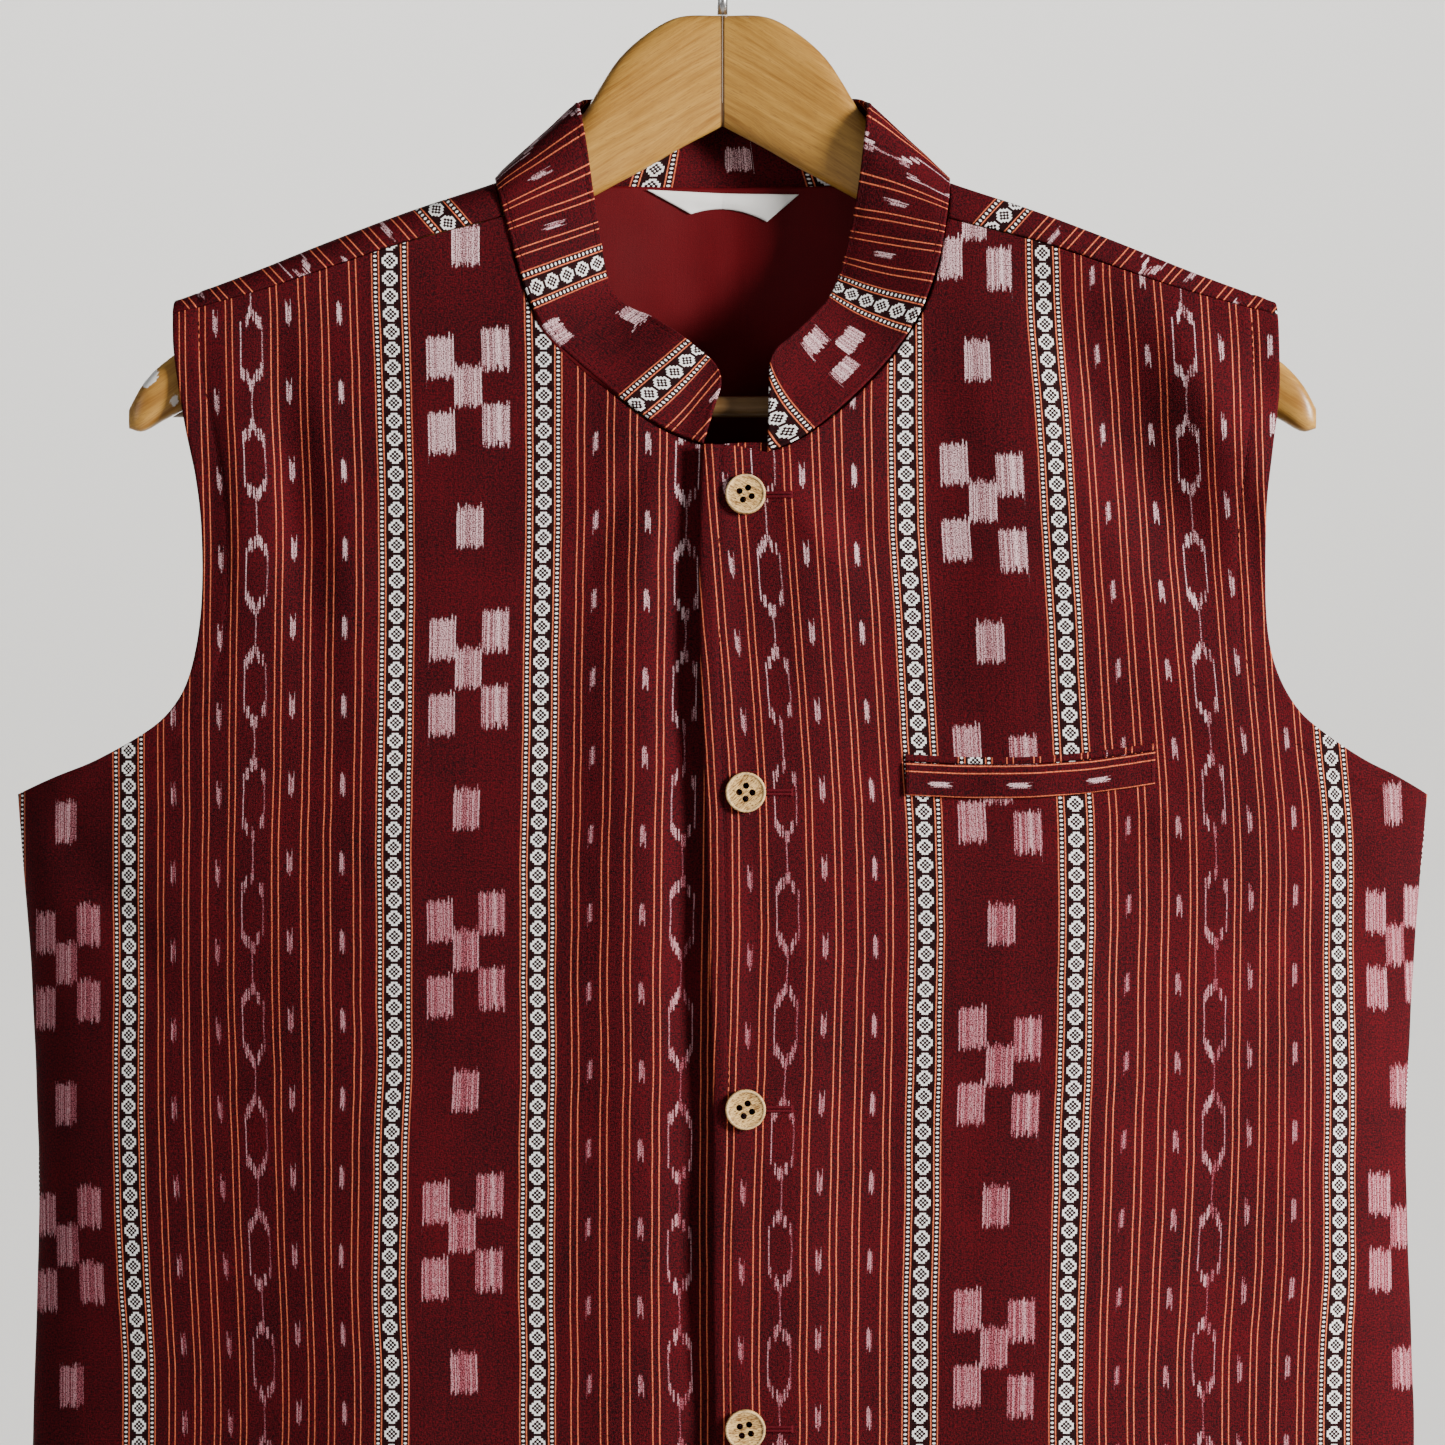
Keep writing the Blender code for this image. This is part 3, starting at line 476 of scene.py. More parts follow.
# Where the stripes of a front hang, seen from before it.
# Columns: drop below the hook, then x of the stripes named in STRIPES_LEFT and STRIPES_RIGHT
STRIPES_LEFT = (0.0, 52.0, 108.0, 160.0, 212.0, 240.0, 268.0)
LEFT_STRIPE_X = (
    (155.0, 13.0, 69.2, 121.0, 172.0, 224.0, 248.0, 268.0),
    (186.0, 13.4, 69.2, 122.1, 174.3, 225.0, 249.0, 269.0),
    (223.0, 14.6, 69.2, 125.1, 175.8, 226.0, 250.0, 269.5),
    (261.0, 16.8, 69.9, 127.4, 177.8, 227.0, 251.0, 270.0),
    (299.0, 19.6, 72.2, 129.7, 180.6, 227.6, 252.0, 270.0),
    (337.0, 22.4, 74.1, 131.5, 184.1, 229.2, 252.5, 270.0),
    (378.0, 24.2, 76.4, 133.8, 186.4, 232.8, 254.0, 270.0),
    (420.0, 24.7, 77.1, 133.8, 186.4, 232.8, 254.4, 270.5),
    (462.0, 23.6, 76.4, 133.1, 185.8, 233.6, 255.8, 271.0),
    (503.0, 22.4, 75.6, 131.5, 185.4, 233.2, 256.0, 271.5),
    (545.0, 21.6, 75.2, 130.8, 183.6, 233.0, 256.6, 272.5),
    (586.0, 21.5, 74.5, 130.0, 181.6, 231.3, 257.6, 274.0),
    (700.0, 22.0, 75.0, 131.0, 183.0, 233.0, 258.0, 275.5),
    (851.0, 22.5, 76.0, 132.0, 185.0, 236.0, 261.0, 279.0),
)
STRIPES_RIGHT = (160.0, 108.0, 52.0, 0.0, -52.0, -80.0, -108.0)
RIGHT_STRIPE_X = (
    (155.0, 12.6, 67.7, 125.9, 179.0, 226.5, 248.0, 268.0),
    (186.0, 12.8, 67.7, 125.1, 178.2, 226.0, 248.0, 268.0),
    (223.0, 13.0, 67.7, 124.0, 177.3, 225.5, 248.0, 268.0),
    (261.0, 13.6, 67.7, 123.2, 176.0, 225.0, 248.2, 268.2),
    (299.0, 14.1, 68.4, 123.2, 176.5, 224.8, 248.3, 268.4),
    (337.0, 14.5, 68.8, 123.6, 176.9, 224.5, 248.3, 268.4),
    (378.0, 15.0, 69.6, 124.4, 177.6, 224.5, 248.3, 268.4),
    (420.0, 15.6, 69.9, 124.0, 177.7, 224.2, 248.3, 268.2),
    (462.0, 16.0, 69.6, 124.0, 176.9, 224.5, 248.3, 268.0),
    (503.0, 16.2, 70.3, 125.5, 175.8, 224.2, 248.1, 268.0),
    (545.0, 16.2, 70.3, 125.9, 174.5, 222.6, 247.3, 269.0),
    (586.0, 16.0, 69.9, 125.1, 173.1, 220.4, 246.0, 270.0),
    (700.0, 16.0, 70.0, 125.5, 175.0, 223.0, 248.5, 272.0),
    (851.0, 16.0, 71.0, 127.0, 178.0, 227.0, 253.0, 278.0),
)

# Heights of one motif of each kind, below the hook, and how far the odd column of a group is off.
# Columns: middle of the stripe, group drop, chain drop, dash drop, offset
MOTIF_HEIGHTS = {
    "left": (
        (0.0, 357.0, 321.0, 302.0, -4.0),
        (80.0, 357.0, 321.0, 302.0, -4.0),
        (160.0, 357.0, 361.4, 372.0, -4.0),
        (240.0, 418.0, 361.4, 372.0, 2.0),
    ),
    "right": (
        (-80.0, 318.0, 363.0, 296.0, 3.0),
        (0.0, 313.4, 363.0, 300.0, 3.2),
        (80.0, 313.4, 363.0, 300.0, 3.2),
        (160.0, 313.4, 322.4, 286.2, 3.2),
    ),
}
VIEW_DISTANCE = 2000.0
VIEW_DROP = 334.0
CHARTED_DEPTH = 35.0
REPEAT = 160.0
HALF_REPEAT = 80.0
BLOCK_COLUMN = 10.3
SIDE_BLOCK_DROP = 14.3


def motif_heights(rows, stripe, drop):
    """Heights on the cloth counted from a motif of each kind, and the group's offset."""
    group = min((row for row in rows if row[0] % REPEAT), key=lambda row: abs(row[0] - stripe))
    chain = min((row for row in rows if not row[0] % REPEAT), key=lambda row: abs(row[0] - stripe))
    return (drop - group[1], drop - chain[2], drop - chain[3]), group[4]


def front_stripes(side, point):
    """The place of a point of a front on the flat cloth, across and along its stripes."""
    nearer = (VIEW_DISTANCE - CHARTED_DEPTH) / (VIEW_DISTANCE + point.y)
    seen_x = point.x * nearer
    drop = VIEW_DROP + (-point.z - VIEW_DROP) * nearer
    names, table = (STRIPES_LEFT, LEFT_STRIPE_X) if side == "left" else (STRIPES_RIGHT, RIGHT_STRIPE_X)
    places = [(read_off(table, drop, column + 1), stripe) for column, stripe in enumerate(names)]
    stripe = read_off(places, SIGN[side] * seen_x)
    heights, offset = motif_heights(MOTIF_HEIGHTS[side], stripe, drop)
    return (stripe, drop, offset), heights


NECK_LEVEL = 8.0
ARMHOLE_LEVEL = 13.0
HEM_LEVEL = 27.0
ARMHOLE_SPLIT = 0.50
ARMHOLE_STITCH = 10.0
LAP_STITCH = 6.6
HEM_STITCH = 21.0
TOP_ROW_HEIGHT = 16.0
LAP_ROW_HEIGHT = 26.0
LAP_TOP_Z = {"left": -229.9, "right": -228.2}
LAP_WIDTH = {"left": 24.0, "right": UNDER_EDGE_X + 7.2}
FIRST_BUTTON_Z = -248.7
BUTTON_PITCH = 118.0


def side_x(z):
    short = 0.5 * SEAM_GAP / BACK_DEPTH
    return read_off(SIDE_LINE, z) * math.sqrt(1.0 - short * short)


def neck_station(side, share):
    return along(COLLAR_LINE[side], share)


def wrap_height(x, reach, gap=0.0):
    """Height on the shoulder's front slope: reach 0 at the ridge, 1 at the forward seam."""
    return shoulder_height(x) - read_off(FORWARD_SEAM, abs(x)) * reach * reach - gap


def neck_share_at(side, reach, gap=0.0):
    """The share of the neck line, front end to ridge, where it meets that height."""
    low, high = 0.0, 1.0
    for _ in range(24):
        tried = (low + high) / 2.0
        station = neck_station(side, tried)
        if station[1] < wrap_height(station[0], reach, gap):
            low = tried
        else:
            high = tried
    return (low + high) / 2.0


SEAM_SHARE = {side: neck_share_at(side, 1.0, SEAM_GAP) for side in SIGN}


def front_edges(side, level):
    """The two ends of a row of a front panel, as distances from the middle and heights."""
    hole = ARMHOLE_LINE[side]
    lap_x, lap_z = abs(COLLAR[side][0][0]), COLLAR[side][0][1]
    if level <= NECK_LEVEL:
        share = level / NECK_LEVEL
        station = neck_station(side, mix(SEAM_SHARE[side], 0.0, share))
        near = (abs(station[0]), station[1])
        far = along(hole, ARMHOLE_SPLIT * (0.75 * share + 0.25 * share * share))
    elif level < ARMHOLE_LEVEL:
        share = (level - NECK_LEVEL) / (ARMHOLE_LEVEL - NECK_LEVEL)
        near = (lap_x, mix(lap_z, UNDERARM_Z, share))
        far = along(hole, mix(ARMHOLE_SPLIT, 1.0, share))
    else:
        share = (level - ARMHOLE_LEVEL) / (HEM_LEVEL - ARMHOLE_LEVEL)
        height = mix(UNDERARM_Z, HEM_Z, share)
        near = (lap_x, height)
        far = (side_x(height), height)
    return near, far


class Row:
    """One row of a panel, walked by length from its inner end to its outer end."""

    def __init__(self, front, samples):
        self.lengths = [0.0]
        self.samples = samples
        points = [cloth_point(front, x, z) for x, z in samples]
        for first, second in zip(points, points[1:]):
            self.lengths.append(self.lengths[-1] + (second - first).length)

    def at(self, length):
        span = 0
        while span < len(self.lengths) - 2 and length > self.lengths[span + 1]:
            span += 1
        share = (length - self.lengths[span]) / max(self.lengths[span + 1] - self.lengths[span], 1e-6)
        (first_x, first_z), (second_x, second_z) = self.samples[span], self.samples[span + 1]
        return mix(first_x, second_x, share), mix(first_z, second_z, share)


def front_row(side, level):
    (near_x, near_z), (far_x, far_z) = front_edges(side, level)
    half = read_off(SIDE_LINE, mix(near_z, far_z, 0.5))
    far_half = read_off(SIDE_LINE, far_z)
    near_turn = math.asin(min(near_x / half, 1.0))
    far_turn = math.asin(min(far_x / far_half, 1.0))
    samples = []
    for step in range(41):
        turn = mix(near_turn, far_turn, step / 40.0)
        share = (math.sin(turn) - math.sin(near_turn)) / (math.sin(far_turn) - math.sin(near_turn))
        x = mix(near_x, far_x, share)
        z = mix(near_z, far_z, share)
        if level < 1.0:
            z = mix(wrap_height(x, 1.0, SEAM_GAP), z, level)
        samples.append((x, z))
    return Row(True, [(SIGN[side] * x, z) for x, z in samples])


def left_lift(x):
    return LAP_LIFT * (1.0 - smoothstep((x - 26.0) / 26.0))


def right_lift(x):
    return -UNDER_SINK * smoothstep((x + 26.0) / 14.0)


def spread(start, end, count):
    return [mix(start, end, step / count) for step in range(1, count)]


ROUND_STEPS = [0.0, 0.12, 0.4, 0.9, 2.0]
FRONT_MIDDLE_COLUMNS = 76
FAR_STEPS = [15.0, 12.4, 11.2, 10.5, 10.0, 9.5, 8.8, 6.5, 4.0, 2.0, 0.9, 0.4, 0.12, 0.0]
LEFT_LAP = [0.0, 0.12, 0.4, 0.9, 2.0, 4.0, 5.4, 6.1, 6.6, 7.1, 7.8, 9.5, 12.0, 14.5, 17.0, 19.5, 22.0]
RIGHT_LAP = [0.0, 0.12, 0.4, 0.9, 2.0, 4.5, 7.0, 9.5, 12.0, 14.5, 17.0, 19.5, 22.0, 24.2]
FRONT_LEVELS = (
    [0.0, 0.008, 0.026, 0.055, 0.13]
    + spread(0.13, NECK_LEVEL, 42)
    + [NECK_LEVEL, 8.006, 8.018, 8.036, 8.09]
    + spread(8.09, ARMHOLE_LEVEL, 38)
    + [ARMHOLE_LEVEL]
    + spread(ARMHOLE_LEVEL, 26.3, 104)
    + [26.3, 26.35, 26.38, 26.4, 26.42, 26.45, 26.55, 26.7, 26.85, 26.945, 26.974, 26.988, 26.997, HEM_LEVEL]
)
LEVEL_HEIGHT = 35.0


def lap_curl(x, z):
    """The lap stands off a little between the buttons."""
    from_edge = x - read_off(LAP_EDGE, -z)
    wave = 0.5 - 0.5 * math.cos(2.0 * math.pi * (z - FIRST_BUTTON_Z) / BUTTON_PITCH)
    return (2.3 + 1.3 * wave) * (1.0 - smoothstep(from_edge / 17.0))


def hole_tree(front, line, sign):
    """The armhole edge as points that a distance can be measured from."""
    tree = kdtree.KDTree(121)
    for step in range(121):
        x, z = along(line, step / 120.0)[:2]
        tree.insert(cloth_point(front, sign * x, z), step)
    tree.balance()
    return tree


FRONT_HOLES = {side: hole_tree(True, ARMHOLE_LINE[side], sign) for side, sign in SIGN.items()}


def hole_dent(tree, front, x, z):
    """The stitched line round an armhole, and the puckers of the turned edge outside it."""
    if abs(x) < 165.0 or z < UNDERARM_Z - 30.0:
        return 0.0
    away = tree.find(cloth_point(front, x, z))[2]
    pucker = ripple(z / 5.5, x / 8.0, 5.0)
    near = math.exp(-(((away - 7.0) / 6.5) ** 2))
    return stitch_dent(away, ARMHOLE_STITCH) + 0.6 * pucker * near


def front_lift(side, x, z, from_lap):
    """How far a front stands off the form: lap, creases, stitched lines and puckers."""
    lift = left_lift(x) if side == "left" else right_lift(x)
    lift += softness(True, x, z)
    lift += hole_dent(FRONT_HOLES[side], True, x, z)
    if side == "left" and from_lap < 40.0:
        lift += lap_curl(x, z)
        lift += stitch_dent(from_lap, LAP_STITCH)
        pucker = ripple(z / 5.0, 2.0, 11.0)
        lift += 0.45 * pucker * math.exp(-(((from_lap - 4.0) / 4.5) ** 2))
    return lift + stitch_dent(z - HEM_Z, HEM_STITCH)


def front_place(side, level, length, row):
    """Outer and inner points of a front where a row is walked by length."""
    x, z = row.at(length)
    from_armhole = row.lengths[-1] - length
    ends = [from_armhole, level * TOP_ROW_HEIGHT, (HEM_LEVEL - level) * LEVEL_HEIGHT]
    if level < NECK_LEVEL:
        ends.append(length)
    lift = front_lift(side, x, z, FAR_AWAY)
    return cloth_pair(True, x, z, lift, min(ends))


def lap_place(side, level, from_lap):
    (near_x, near_z), _ = front_edges(side, level)
    edge_x = read_off(LAP_EDGE, -near_z) if side == "left" else -UNDER_EDGE_X
    share = from_lap / LAP_WIDTH[side]
    x = mix(edge_x, near_x, share)
    top = mix(LAP_TOP_Z[side], near_z, share**3) - near_z
    z = near_z + top * max(1.0 - (level - NECK_LEVEL), 0.0)
    ends = (from_lap, (level - NECK_LEVEL) * LAP_ROW_HEIGHT, (HEM_LEVEL - level) * LEVEL_HEIGHT)
    x *= SIGN[side]
    lift = front_lift(side, x, z, from_lap)
    return cloth_pair(True, x, z, lift, min(ends))


def length_at(step, middle_columns, total):
    """How far along its row a column of a panel lies, with close columns at both ends."""
    if step < len(ROUND_STEPS):
        return ROUND_STEPS[step]
    if step >= len(ROUND_STEPS) + middle_columns - 1:
        return total - FAR_STEPS[step - len(ROUND_STEPS) - middle_columns + 1]
    share = (step - len(ROUND_STEPS) + 1) / middle_columns
    return mix(ROUND_STEPS[-1], total - FAR_STEPS[0], share)


def front_panel(name, side, finishes):
    lap = LEFT_LAP if side == "left" else RIGHT_LAP
    rows = [front_row(side, level) for level in FRONT_LEVELS]
    columns = len(lap) + len(ROUND_STEPS) + FRONT_MIDDLE_COLUMNS - 1 + len(FAR_STEPS)
    neck_row = FRONT_LEVELS.index(NECK_LEVEL)

    def point_at(column, number):
        level, row = FRONT_LEVELS[number], rows[number]
        if column < len(lap):
            outer, inner = lap_place(side, max(level, NECK_LEVEL), lap[column])
        else:
            length = length_at(column - len(lap), FRONT_MIDDLE_COLUMNS, row.lengths[-1])
            outer, inner = front_place(side, level, length, row)
        stripes, motifs = front_stripes(side, outer)
        return outer, inner, stripes, motifs

    def keep(column, row):
        return column >= len(lap) or row >= neck_row

    return cloth_wall(name, columns - 1, len(FRONT_LEVELS) - 1, point_at, finishes, keep)


class Field:
    """A number that changes over a surface, as the output of a node."""

    def __init__(self, tree, socket):
        self.tree = tree
        self.socket = socket

    def step(self, operation, *others):
        node = self.tree.nodes.new("ShaderNodeMath")
        node.operation = operation
        for slot, value in zip(node.inputs, (self, *others)):
            if isinstance(value, Field):
                self.tree.links.new(value.socket, slot)
            else:
                slot.default_value = value
        return Field(self.tree, node.outputs[0])

    def __add__(self, other):
        return self.step("ADD", other)

    def __sub__(self, other):
        return self.step("SUBTRACT", other)

    def __mul__(self, other):
        return self.step("MULTIPLY", other)

    def __truediv__(self, other):
        return self.step("DIVIDE", other)

    def __abs__(self):
        return self.step("ABSOLUTE")

    def flipped(self):
        """One minus the field."""
        return self * -1.0 + 1.0

    def least(self, other):
        return self.step("MINIMUM", other)

    def most(self, other):
        return self.step("MAXIMUM", other)

    def wrapped(self, half):
        return self.step("WRAP", half, -half)

    def counted(self, size):
        """The middle of the strip of the given size that the field is in."""
        return ((self / size).step("FLOOR") + 0.5) * size

    def under(self, edge, soft=0.08):
        """1 where the field is less than the edge, 0 where it is more."""
        node = self.tree.nodes.new("ShaderNodeMapRange")
        node.interpolation_type = "SMOOTHSTEP"
        self.tree.links.new(self.socket, node.inputs["Value"])
        node.inputs["From Min"].default_value = edge - soft
        node.inputs["From Max"].default_value = edge + soft
        node.inputs["To Min"].default_value = 1.0
        node.inputs["To Max"].default_value = 0.0
        return Field(self.tree, node.outputs["Result"])


def together(first, second, third=None):
    """Two or three fields as a vector."""
    node = first.tree.nodes.new("ShaderNodeCombineXYZ")
    for slot, value in zip(node.inputs, (first, second, third)):
        if isinstance(value, Field):
            first.tree.links.new(value.socket, slot)
        elif value is not None:
            slot.default_value = value
    return node.outputs["Vector"]


def apart(tree, socket):
    node = tree.nodes.new("ShaderNodeSeparateXYZ")
    tree.links.new(socket, node.inputs["Vector"])
    return [Field(tree, output) for output in node.outputs]


def random_number(tree, vector):
    node = tree.nodes.new("ShaderNodeTexWhiteNoise")
    node.noise_dimensions = "3D"
    tree.links.new(vector, node.inputs["Vector"])
    return Field(tree, node.outputs["Value"])


def cloud(tree, vector, detail=2.0):
    node = tree.nodes.new("ShaderNodeTexNoise")
    node.inputs["Scale"].default_value = 1.0
    node.inputs["Detail"].default_value = detail
    tree.links.new(vector, node.inputs["Vector"])
    return Field(tree, node.outputs[0])


def blended(tree, first, second, mask):
    """A colour between two, each of which may be a socket or a plain colour."""
    node = tree.nodes.new("ShaderNodeMix")
    node.data_type = "RGBA"
    for slot, value in ((node.inputs[6], first), (node.inputs[7], second)):
        if isinstance(value, tuple):
            slot.default_value = (*value, 1.0)
        else:
            tree.links.new(value, slot)
    tree.links.new(mask.socket, node.inputs["Factor"])
    return node.outputs[2]


def read_attribute(tree, name):
    place = tree.nodes.new("ShaderNodeAttribute")
    place.attribute_name = name
    return apart(tree, place.outputs["Vector"])


def set_relief(tree, shader, height, strength, distance):
    bump = tree.nodes.new("ShaderNodeBump")
    bump.inputs["Strength"].default_value = strength
    bump.inputs["Distance"].default_value = distance
    tree.links.new(height, bump.inputs["Height"])
    tree.links.new(bump.outputs["Normal"], shader.inputs["Normal"])


def use_group(tree, group, **values):
    node = tree.nodes.new("ShaderNodeGroup")
    node.node_tree = group
    for title, value in values.items():
        node.inputs[title].default_value = value
    return node


def new_group(name, inputs, outputs):
    group = bpy.data.node_groups.new(name, "ShaderNodeTree")
    for title, kind in inputs:
        group.interface.new_socket(title, in_out="INPUT", socket_type=kind)
    for title, kind in outputs:
        group.interface.new_socket(title, in_out="OUTPUT", socket_type=kind)
    return group, group.nodes.new("NodeGroupInput"), group.nodes.new("NodeGroupOutput")


def handloom_weave():
    """Speckle, thread height and slubs of a plain weave, by place on the flat cloth in millimetres."""
    group, given, wanted = new_group(
        "handloom weave",
        (("Across", "NodeSocketFloat"), ("Along", "NodeSocketFloat")),
        (("Speckle", "NodeSocketFloat"), ("Shade", "NodeSocketFloat"), ("Height", "NodeSocketFloat")),
    )
    across = Field(group, given.outputs["Across"])
    down = Field(group, given.outputs["Along"])
    warp_speckle = cloud(group, together(across / 0.42, down / 1.3))
    weft_speckle = cloud(group, together(across / 1.3, down / 0.46, 7.0))
    crossings = cloud(group, together(across / 0.62, down / 0.66, 3.0), 1.0)
    warp_streaks = cloud(group, together(across / 0.8, down / 26.0, 13.0), 3.0)
    weft_streaks = cloud(group, together(across / 30.0, down / 0.7, 19.0), 3.0)
    patches = cloud(group, together(across / 26.0, down / 34.0, 23.0), 3.0)
    speckle = (warp_speckle + weft_speckle + crossings) / 3.0
    speckle = (speckle - 0.5) * 4.9 + (warp_streaks - 0.5) * 0.5 + (weft_streaks - 0.5) * 0.35 + 0.5
    warp_thread = (across * (2.0 * math.pi / 0.62)).step("SINE")
    weft_thread = (down * (2.0 * math.pi / 0.66)).step("SINE")
    height = warp_thread * weft_thread * 0.22 + speckle * 0.9 + warp_streaks * 0.5
    group.links.new(speckle.socket, wanted.inputs["Speckle"])
    group.links.new(patches.socket, wanted.inputs["Shade"])
    group.links.new(height.socket, wanted.inputs["Height"])
    return group


weave = handloom_weave()


def place_weave(tree, across, down):
    node = use_group(tree, weave)
    tree.links.new(across.socket, node.inputs["Across"])
    tree.links.new(down.socket, node.inputs["Along"])
    return [Field(tree, node.outputs[title]) for title in ("Speckle", "Shade", "Height")]


MAROON_DARK = (0.010, 0.0014, 0.0028)
MAROON_BRIGHT = (0.122, 0.0038, 0.0078)
ORANGE_YARN = (0.84, 0.19, 0.085)
BLACK_YARN = (0.006, 0.002, 0.0025)
WHITE_YARN = (0.97, 0.95, 0.94)
IKAT_PINK = (0.42, 0.100, 0.135)
IKAT_WHITE = (0.94, 0.68, 0.72)
ORANGE_PAIRS = (8.7, 19.4, 27.6, 38.3)
FLOWER_STRIPE = 52.0
FLOWER_CELL = 0.81
FLOWER_PERIOD = 6.72
DOT_PERIOD = 1.70
GROUP_HALF_PERIOD = 53.3
CHAIN_HALF_PERIOD = 21.3
DASH_HALF_PERIOD = 14.85
THREAD = 0.44
CHAIN_THREAD = 0.55


def ikat_threads(tree, stripes, motifs):
    """Where the resist-dyed threads show: groups of blocks, chains and short dashes."""
    across, down, offset = stripes
    group_drop, chain_drop, dash_drop = motifs
    thread = (across / THREAD).step("FLOOR")
    first = random_number(tree, together(thread, thread * 0.37, 1.0))
    second = random_number(tree, together(thread, thread * 0.53, 2.0))
    third = random_number(tree, together(thread, thread * 0.71, 3.0))

    from_group = (across - HALF_REPEAT).wrapped(HALF_REPEAT)
    column = (from_group / BLOCK_COLUMN).step("ROUND")
    odd_shift = (column * offset * -1.0).most(0.0)
    height = (group_drop - odd_shift + (first - 0.5) * 2.6).wrapped(GROUP_HALF_PERIOD)
    centre_gap = abs(height).least(abs(height) * -1.0 + GROUP_HALF_PERIOD)
    side_gap = abs(abs(height) - SIDE_BLOCK_DROP)
    outer_column = abs(column).under(0.5).flipped()
    gap = centre_gap * outer_column.flipped() + side_gap * outer_column
    blocks = (gap - second * 1.5).under(6.7, 0.45) * abs(from_group).under(15.5, 0.12)

    from_chain = across.wrapped(HALF_REPEAT)
    chain_thread = (from_chain / CHAIN_THREAD).step("FLOOR")
    ring = (chain_drop / (2.0 * CHAIN_HALF_PERIOD)).step("FLOOR")
    ring_random = random_number(tree, together(chain_thread, ring, 4.0))
    ring_skip = random_number(tree, together(chain_thread, ring, 5.0))
    reach = abs(from_chain.counted(CHAIN_THREAD))
    height = abs(chain_drop.wrapped(CHAIN_HALF_PERIOD))
    shoulder = height + reach * 1.5 - 14.0 + (ring_random - 0.5) * 2.4
    shoulders = abs(shoulder).under(2.2, 0.4) * reach.under(4.6) * ring_skip.under(0.30, 0.01).flipped()
    wander = cloud(tree, together(chain_drop / 9.0, 3.0), 1.0)
    sides = abs(abs(from_chain) - 4.15 - (wander - 0.5) * 0.7).under(0.22, 0.12) * height.under(8.6, 0.5)
    link = abs(from_chain + (wander - 0.5) * 0.9).under(0.24, 0.12) * height.under(12.6, 0.6).flipped()
    chains = (shoulders * 0.85).most(sides * 0.9).most(link * 0.9)

    reach = abs(from_chain)
    column = (from_chain / 24.0).step("ROUND")
    height = (dash_drop + column * 1.7).wrapped(DASH_HALF_PERIOD) + (first - 0.5) * 3.4
    beside = abs(reach - 14.1).least(abs(reach - 33.0))
    dashes = (abs(height) - second * 1.4).under(2.7, 0.5) * beside.under(1.02, 0.1) * 0.85

    streak = cloud(tree, together(across / 0.3, down / 2.2, 41.0), 2.0)
    crossings = cloud(tree, together(across / 0.4, down / 0.5, 43.0), 1.0)
    cover = blocks.most(chains).most(dashes)
    paleness = (third * 0.55 + streak * 1.1 + down.under(330.0, 110.0) * 0.55 - 0.70).least(1.0).most(0.0)
    broken = ((crossings - 0.5) * 7.0 + (third - 0.5) * 0.9 + 0.72).least(1.0).most(0.06)
    return cover, paleness, broken


def flower_stripe(tree, across, down):
    """Masks of the charted flowers, the dots beside them and the four orange edge lines."""
    signed = across.wrapped(HALF_REPEAT)
    side = signed.step("SIGN")
    from_middle = abs(signed) - FLOWER_STRIPE
    reach = abs(from_middle)
    column = abs((from_middle / FLOWER_CELL).step("ROUND"))
    height = (down + side * 1.9).wrapped(FLOWER_PERIOD / 2.0)
    row = abs((height / FLOWER_CELL).step("ROUND"))
    count = column + row
    petals = column.under(3.5, 0.01) * row.under(3.5, 0.01) * count.under(4.5, 0.01)
    cell_across = reach / FLOWER_CELL
    cell_up = height / FLOWER_CELL
    checks = (cell_across * math.pi).step("COSINE") * (cell_up * math.pi).step("COSINE")
    centre = (cell_across + abs(cell_up)).under(2.95, 0.12)
    flowers = petals * (checks.under(-0.28, 0.12).flipped() * centre).flipped()
    dot_height = (down + side * 0.4).wrapped(DOT_PERIOD / 2.0)
    dot_across = (reach - 5.37) / 0.66
    dot_up = dot_height / 0.44
    dots = (dot_across * dot_across + dot_up * dot_up).under(0.95, 0.22)
    lines = abs(reach - 4.1).under(0.22, 0.12).most(abs(reach - 6.65).under(0.22, 0.12) * 0.8)
    ground = reach.under(6.4, 0.2)
    return flowers, dots, lines, ground


